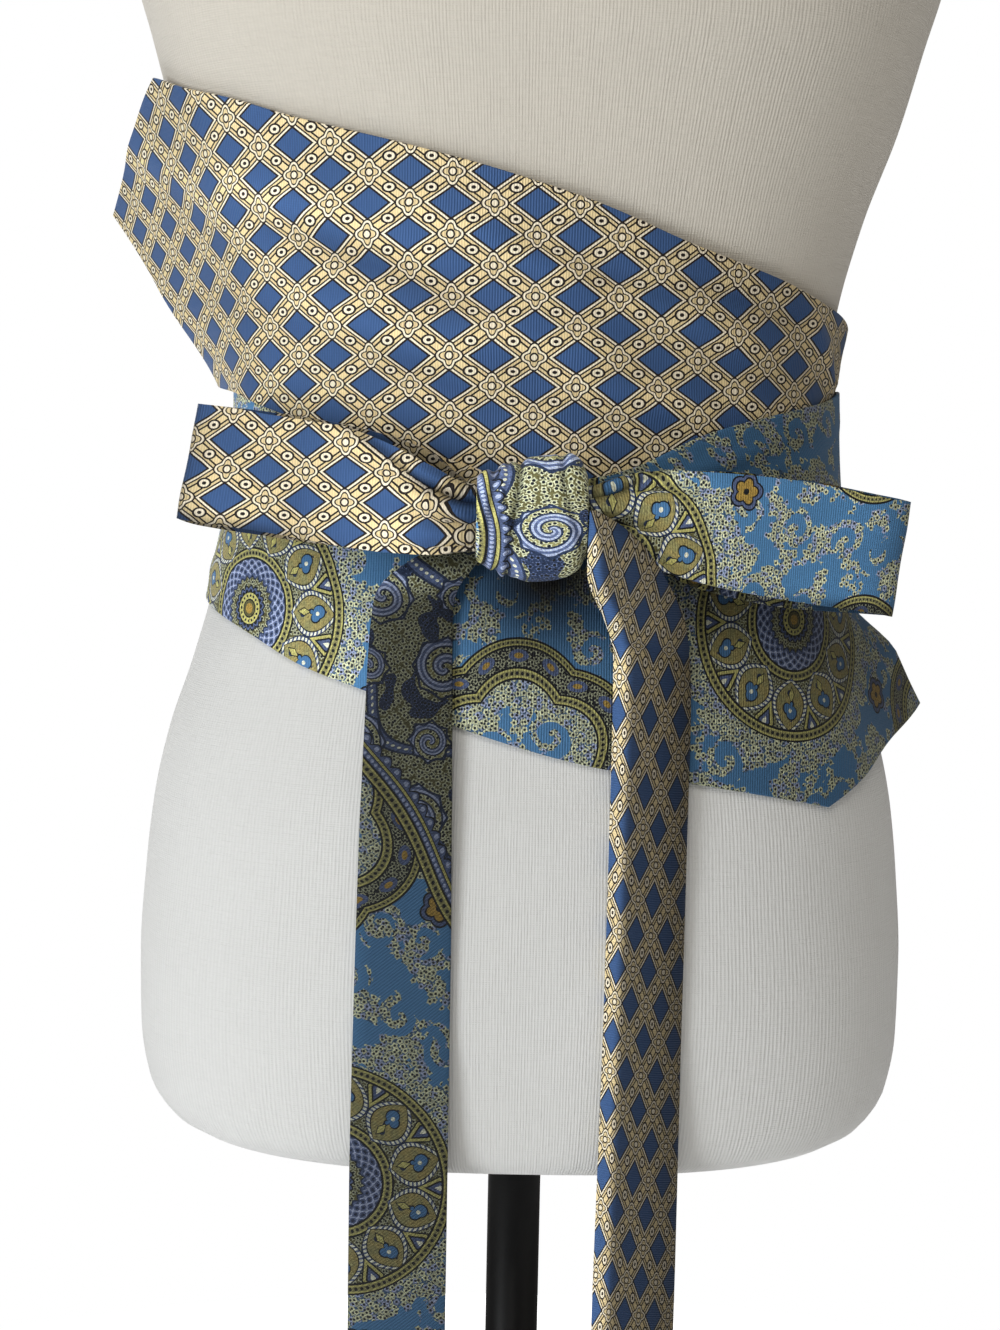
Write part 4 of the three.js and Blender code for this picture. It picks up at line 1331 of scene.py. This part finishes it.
def cloth_reach(radius_at, lift, low, high, start, end):
    """Distance along the cloth from the front, at any turn and height."""
    step_turn, step_height = 3, 6
    heights = [low + i * step_height for i in range(int((high - low) / step_height) + 2)]
    turns = list(range(int(start) - step_turn, int(end) + 2 * step_turn, step_turn))

    def spot(turn, height):
        radius, angle = radius_at(turn, height) + lift, math.radians(turn)
        return Vector((radius * math.sin(angle), radius * math.cos(angle)))

    zero = -turns[0] / step_turn
    table = []
    for height in heights:
        spots = [spot(turn, height) for turn in turns]
        reach = [0]
        for before, after in zip(spots, spots[1:]):
            reach.append(reach[-1] + (after - before).length)
        front = lerp(reach[int(zero)], reach[int(zero) + 1], zero - int(zero))
        table.append([value - front for value in reach])

    def read(turn, height):
        a = min(max((turn - turns[0]) / step_turn, 0), len(turns) - 1.001)
        b = min(max((height - heights[0]) / step_height, 0), len(heights) - 1.001)
        i, j = int(a), int(b)
        lower = lerp(table[j][i], table[j][i + 1], a - i)
        upper = lerp(table[j + 1][i], table[j + 1][i + 1], a - i)
        return lerp(lower, upper, b - j)

    return read


def blade_start(blade):
    """Both edges of a blade's point are straight in the cloth, along its tangent there."""
    def along(turn):
        return math.tan(math.radians(-turn - blade.facing))

    def at(v):
        if v < 0.5:
            distance = lerp(along(blade.bottom_shoulder), along(blade.tip), 2 * v)
        else:
            distance = lerp(along(blade.tip), along(blade.top_shoulder), 2 * v - 1)
        return -blade.facing - math.degrees(math.atan(distance))

    return at


def slanted_seam(turn, side):
    """The cut edge on one side of a seam, as the turn at each v."""
    gap = math.degrees(SEAM / SEAM_RADIUS)
    return lambda v: turn + side * gap + SEAM_SLANT * (v - 0.5)


def build_tie(tie, settings):
    """The three lengths of a tie that go round the form."""
    place, gleam, radius_at, height_at = band_surface(tie)
    rows = rows_of(tie.run)
    low, high = min(row.bottom for row in rows) - 6, max(row.top for row in rows) + 6
    reach = cloth_reach(radius_at, OVER_LIFT, low, high, rows[0].turn - 6, tie.end + 6)
    silks = [silk(f"{tie.name}_{face}", settings) for face in ("silk", "reverse")]

    def build_length(part, start, end, columns, rows):
        def turn_at(u, v):
            return lerp(start(v), end(v), u)

        def point(u, v):
            return place(turn_at(u, v), v)

        # Painted light and shade at a point of this length.
        def painted_shine(u, v):
            return gleam(turn_at(u, v), v)

        def measure(u, v):
            turn = turn_at(u, v)
            height = height_at(turn, v)
            return (tie.direction * reach(turn, height) - tie.origin[0], height - tie.origin[1])

        node = f"{tie.name}_{part}"
        mesh = cloth(columns, rows, point, measure, tie.direction < 0, painted_shine)
        flat = flat_size(mesh)
        piece = finished(f"{node}_silk", mesh, silks, [wall(PANEL, 1, 1), soft_edge(0.5)])
        dress(piece, node, f"{tie.name}_silk")

    neck, sash = NECK_SEAM, SASH_SEAM
    build_length("blade", blade_start(tie.blade), slanted_seam(neck, -0.5), 190, 44)
    build_length("neck", slanted_seam(neck, 0.5), slanted_seam(sash, -0.5), 150, 26)
    build_length("sash", slanted_seam(sash, 0.5), lambda v: tie.end, 110, 22)


# ---- Bow ----------------------------------------------------------------------------------
def loop_surface(loop):
    """place(u, v), measure(u, v) and the painted light and shade at (u, v) of a loop, and its
    thickness at u.
    """
    rows = rows_of(loop.rows)
    run = 0
    measured = ["run " + loop.rows[0]]
    for before, row in zip([rows[0], *rows], rows):
        run += math.hypot(row.x - before.x, row.y - before.y)
        measured.append((run, *row))
    path, step = curves(measured), curves(loop.ledge)
    outward = math.copysign(1, rows[len(rows) // 2].x)
    reach = max(abs(row.x) for row in rows)
    folds = rows_of(loop.pleats)

    def relief(u, v):
        if u < 0.5:
            return 0
        away = abs(path(u * run).x)
        gathered = ease(0.62 * reach, 0.14 * reach, away) * ease(0.1, 0.22, away / reach)
        off = gathered * sum(fold.rise * bump(v, fold.level, fold.spread) for fold in folds)
        off += 0.6 * ripple(away, v * 60, 3, 22) * ease(0.2, 0.4, away / reach)
        edge = step(away)
        return off + edge.rise * (1 - ease(edge.level - 0.02, edge.level + 0.04, v))

    # Painted light and shade: the rear layer painted darker than the front, which is painted as
    # bright as the loop's given share; a painted highlight on pleats and ledges; painted shade in
    # the crevice above each ledge and on the rolled-under lower edge; painted shadow near the knot.
    def gleam(u, v):
        away = abs(path(u * run).x)
        edge = step(away)
        painted_shine = lerp(0.62, loop.lit, ease(0.5, 0.56, u)) * (1 + 0.13 * relief(u, v))
        painted_crevice_shade = bump(v, edge.level + 0.06, 0.05) * min(edge.rise / 2, 1) if u > 0.5 else 0
        painted_rolled_edge_shade = bump(v, 0, 0.07) * ease(0.4, 0.9, away / reach)
        shade = (1 - 0.6 * painted_crevice_shade) * (1 - 0.6 * painted_rolled_edge_shade)
        return painted_shine * shade * lerp(0.35, 1, ease(19, 56, away))

    def place(u, v):
        here = path(u * run)
        before, after = path(u * run - 0.5), path(u * run + 0.5)
        heading = Vector((after.x - before.x, after.y - before.y)).normalized()
        off = relief(u, v) * outward
        x = here.x - heading.y * off + outward * here.lean * (1 - v)
        return (x, here.y + heading.x * off, WAIST + lerp(here.bottom, here.top, v))

    def measure(u, v):
        here = path(u * run)
        return (u * run - loop.origin[0], lerp(here.bottom, here.top, v) - loop.origin[1])

    return place, measure, gleam, lambda u: path(u * run).thick


def build_loop(loop, settings):
    place, measure, gleam, thick = loop_surface(loop)
    most = max(row.thick for row in rows_of(loop.rows))
    mesh = cloth(230, 44, place, measure, loop.flip, gleam, lambda u: thick(u) / most)
    flat = flat_size(mesh)
    piece = finished(f"{loop.name}_silk", mesh, [silk(loop.silk, settings)])
    piece.vertex_groups.new(name="wall")
    add_modifiers(piece, [wall(most, 0, 0, "wall"), soft_edge(1.0)])
    dress(piece, loop.name, loop.silk)


def build_knot(settings):
    """Cloth wound round the necks of the loops, with its ends turned in."""
    section = curves(KNOT_SECTIONS)
    channels = rows_of(KNOT_CHANNELS)
    first, last = KNOT_SECTIONS[1][0], KNOT_SECTIONS[-1][0]
    lip = 0.1

    def along(v):
        return (v - lip) / (1 - 2 * lip)

    def pressed(x, up):
        return sum(c.depth * bump(x, c.x + c.slant * up, c.width) for c in channels)

    def place(u, v):
        x = lerp(first, last, min(max(along(v), 0), 1))
        turned_in = max(-along(v), along(v) - 1, 0) * (1 - 2 * lip) / lip
        here = section(x)
        angle = (u - 0.5) * TURN
        up, front = math.sin(angle), math.cos(angle)
        rise = here.top - KNOT_HEIGHT if up > 0 else KNOT_HEIGHT - here.bottom
        relief = 0.35 * ripple(x, up * 20, front * 20, 7) - pressed(x, up)
        radius = super_radius(up, front, rise, here.half_depth, KNOT_POWER)
        radius += relief * (1 - turned_in)
        radius *= 1 - (1 - KNOT_LIP) * math.sin(turned_in * math.pi / 2)
        return (x, KNOT_Y - radius * front, WAIST + KNOT_HEIGHT + radius * up)

    def measure(u, v):
        return (
            KNOT_ORIGIN[0] + (u - 0.5) * KNOT_GIRTH, KNOT_ORIGIN[1] - lerp(first, last, v),
        )

    # Painted light and shade: the knot painted brighter than its silk, brightest on top where the
    # light falls, with painted shade in the channels between its turns.
    def gleam(u, v):
        up = math.sin((u - 0.5) * TURN)
        shade = 0.42 * min(pressed(lerp(first, last, along(v)), up), 1.6)
        return lerp(1.7, 2.1, ease(-0.9, 0.9, up)) * (1 - shade)

    mesh = rolled(120, 76, place, measure, gleam)
    knot = finished("knot_silk", mesh, [silk("paisley_silk", settings)], [wall(1.2, -1)])
    dress(knot, "knot", "paisley_silk")


def tail_surface(tail):
    """place(u, v) on the rear face of a tail that rests on the form and hangs plumb below
    where that reaches furthest, and its flat place."""
    shape = curves(tail.rows)
    start = tail.rows[1][0]
    at_end = shape(tail.end)
    point = (at_end.right - at_end.left) / 2

    def flat(u, v):
        height = lerp(start, tail.end - point * (1 - abs(2 * v - 1)), u)
        row = shape(height)
        return (lerp(row.left, row.right, v), height)

    def place(u, v):
        x, height = flat(u, v)
        row = shape(height)
        lowest = max(height, TAIL_LEAVES)
        reach = form_reach(x, lowest)
        above = start
        while above > lowest:
            reach = max(reach, form_reach(x, above))
            above -= 5
        inner = max(reach + row.stand, row.front) + row.curl * (1 - v) ** 3
        inner += row.bulge * (1 - abs(2 * v - 1) ** 2.5)
        inner += 0.5 * abs(ripple(x, height, 11, 45)) * ease(start, start - 60, height)
        return (x, -inner, WAIST + height)

    return place, flat


def build_tail(tail, settings):
    place, flat = tail_surface(tail)
    across, down = math.cos(math.radians(tail.turn)), math.sin(math.radians(tail.turn))

    def printed(u, v):
        x, y = [(f - o) * s for f, o, s in zip(flat(u, v), tail.origin, tail.squeeze)]
        return (x * across - y * down, x * down + y * across)

    cut = flat_size(cloth(190, 24, place, flat))
    mesh = cloth(190, 24, place, printed, False, tail.gleam)
    modifiers = [wall(RIBBON), soft_edge(0.9)]
    piece = finished(f"{tail.name}_silk", mesh, [silk(tail.silk, settings)], modifiers)
    dress(piece, tail.name, tail.silk)


def left_tail_painted_light(u, v):
    """Painted shade over most of the tail, with a painted highlight on the fold at its head and a
    little along its left edge.
    """
    dull = lerp(0.25, 0.33, ease(0.15, 0.4, u))
    return dull + 0.8 * bump(u, 0.068, 0.012) * (1 - 0.6 * v) + 0.1 * bump(v, 0, 0.1)


def right_tail_painted_light(u, v):
    """A painted highlight along the rounded fold of its left edge, brighter still near its head,
    and painted shade over the rest, darker towards its right edge.
    """
    fold = 1 - ease(0.12, 0.24, v)
    return lerp(0.28, 1.15, fold) * lerp(1, 0.8, ease(0.5, 1, v)) * lerp(1.25, 1, ease(0.05, 0.3, u))


# Origin is where a piece's print starts on the flat cloth, turn how far the print is turned
# in degrees, and squeeze how much narrower and shorter it is drawn.
# Each loop also gives how bright its front layer is painted, and each tail its painted light and
# shade.
Loop = namedtuple("Loop", "name silk rows pleats ledge lit origin flip")
LOOPS = (
    Loop("loop_left", "gold_silk", LEFT_LOOP, LEFT_PLEATS, LEFT_LEDGE, 1.05, (0, 0), False),
    Loop(
        "loop_right", "paisley_silk", RIGHT_LOOP, RIGHT_PLEATS, RIGHT_LEDGE, 1.3, (320, -226),
        True,
    ),
)
Tail = namedtuple("Tail", "name silk rows end gleam turn origin squeeze")
TAILS = (
    Tail("tail_left", "paisley_silk", LEFT_TAIL, -485, left_tail_painted_light, 50, (-48, -612), (1, 1)),
    Tail("tail_right", "gold_silk", RIGHT_TAIL, -470, right_tail_painted_light, -86, (0, 0), (2.0, 1.15)),
)


# ---- Studio -------------------------------------------------------------------------------
CAMERA_PLACE = (-0.0115, -0.905)  # in metres, level with the waist
CAMERA_TILT = 6.4  # degrees down
CAMERA_ROLL = 1.1
Light = namedtuple("Light", "name place width height share colour aim")
LIGHTS = (
    Light("key", (-1.9, -1.7, 1.0), 1.0, 1.6, 1.0, (0.95, 0.98, 1.0), 0.98),
    Light("ceiling", (-0.4, -1.6, 2.7), 1.4, 1.0, 0.5, (1.0, 0.97, 0.9), 1.1),
    Light("fill", (2.2, -1.2, 1.3), 1.6, 1.8, 0.08, (1.0, 0.9, 0.75), 1.05),
    Light("back", (-0.6, 2.0, 1.6), 1.8, 1.6, 0.5, (1.0, 1.0, 1.0), 1.0),
)
AMBIENT = 0.2  # strength of the warm light from all round


def add_camera(scene, settings):
    camera = bpy.data.objects.new("camera", bpy.data.cameras.new("camera"))
    scene.collection.objects.link(camera)
    scene.camera = camera
    camera.data.sensor_width = 36
    camera.data.lens = settings.lens
    camera.data.clip_start = 0.05
    camera.data.clip_end = 60
    camera.location = (*CAMERA_PLACE, WAIST * MM)
    tilt = Matrix.Rotation(math.radians(90 - CAMERA_TILT), 4, "X")
    roll = Matrix.Rotation(math.radians(CAMERA_ROLL), 4, "Z")
    camera.rotation_euler = (tilt @ roll).to_euler()


def add_light(scene, row, power):
    """A soft rectangular light that shines at a height on the form's axis."""
    light = bpy.data.objects.new(row.name, bpy.data.lights.new(row.name, "AREA"))
    scene.collection.objects.link(light)
    light.data.shape = "RECTANGLE"
    light.data.size = row.width
    light.data.size_y = row.height
    light.data.energy = power * row.share
    light.data.color = row.colour
    light.location = row.place
    facing = Vector(row.place) - Vector((0, 0, row.aim))
    light.rotation_euler = facing.to_track_quat("Z", "Y").to_euler()


def add_world(scene):
    """Dim warm light all round, behind which the camera sees plain white."""
    world = bpy.data.worlds.new("studio")
    scene.world = world
    world.use_nodes = True
    nodes, links = world.node_tree.nodes, world.node_tree.links
    dim, shown = nodes["Background"], nodes.new("ShaderNodeBackground")
    dim.inputs["Strength"].default_value = AMBIENT
    dim.inputs["Color"].default_value = (1.0, 0.96, 0.9, 1)
    shown.inputs["Strength"].default_value = 1.0
    shown.inputs["Color"].default_value = (1, 1, 1, 1)
    seen, mix = nodes.new("ShaderNodeLightPath"), nodes.new("ShaderNodeMixShader")
    links.new(seen.outputs["Is Camera Ray"], mix.inputs[0])
    links.new(dim.outputs[0], mix.inputs[1])
    links.new(shown.outputs[0], mix.inputs[2])
    links.new(mix.outputs[0], nodes["World Output"].inputs["Surface"])


def build_stage(settings):
    """The floor, the camera, the lights and the world."""
    mesh = bmesh.new()
    bmesh.ops.create_circle(mesh, cap_ends=True, segments=96, radius=FLOOR_REACH)
    finished("studio_floor", mesh, [floor_paint()])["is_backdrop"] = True

    scene = bpy.context.scene
    add_camera(scene, settings)
    for row in LIGHTS:
        add_light(scene, row, settings.key)
    add_world(scene)
    scene.view_settings.view_transform = "Standard"


# ---- Operators and panel ------------------------------------------------------------------
class OBI_OT_form(bpy.types.Operator):
    """Build the linen torso, its pole and its base"""

    bl_idname = "obi.form"
    bl_label = "Dress form"

    def execute(self, context):
        build_form(context.scene.obi)
        return {"FINISHED"}


class OBI_OT_ties(bpy.types.Operator):
    """Wind the gold tie and the paisley tie round the form"""

    bl_idname = "obi.ties"
    bl_label = "Ties"

    def execute(self, context):
        for tie in (GOLD_TIE, PAISLEY_TIE):
            build_tie(tie, context.scene.obi)
        return {"FINISHED"}


class OBI_OT_bow(bpy.types.Operator):
    """Tie the bow: two loops, the knot and two tails"""

    bl_idname = "obi.bow"
    bl_label = "Bow"

    def execute(self, context):
        for loop in LOOPS:
            build_loop(loop, context.scene.obi)
        build_knot(context.scene.obi)
        for tail in TAILS:
            build_tail(tail, context.scene.obi)
        return {"FINISHED"}


class OBI_OT_stage(bpy.types.Operator):
    """Set the floor, the lights and the camera"""

    bl_idname = "obi.stage"
    bl_label = "Studio"

    def execute(self, context):
        build_stage(context.scene.obi)
        return {"FINISHED"}


class OBI_PT_panel(bpy.types.Panel):
    """Lists the belt's sizes, colours and building steps"""

    bl_label = "Obi belt"
    bl_idname = "OBI_PT_panel"
    bl_space_type = "VIEW_3D"
    bl_region_type = "UI"
    bl_category = "Obi belt"

    def draw(self, context):
        for name in ObiSettings.__annotations__:
            self.layout.prop(context.scene.obi, name)
        for operator in OPERATORS:
            self.layout.operator(operator.bl_idname)


OPERATORS = (OBI_OT_form, OBI_OT_ties, OBI_OT_bow, OBI_OT_stage)
CLASSES = (ObiSettings, *OPERATORS, OBI_PT_panel)


def register():
    for item in CLASSES:
        bpy.utils.register_class(item)
    bpy.types.Scene.obi = PointerProperty(type=ObiSettings)


def unregister():
    del bpy.types.Scene.obi
    for item in reversed(CLASSES):
        bpy.utils.unregister_class(item)


def main():
    register()
    bpy.ops.obi.form()
    bpy.ops.obi.ties()
    bpy.ops.obi.bow()
    bpy.ops.obi.stage()
    [[list(corner) for corner in box] for box in (CAD_BOX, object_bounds())]


if __name__ == "__main__":
    main()
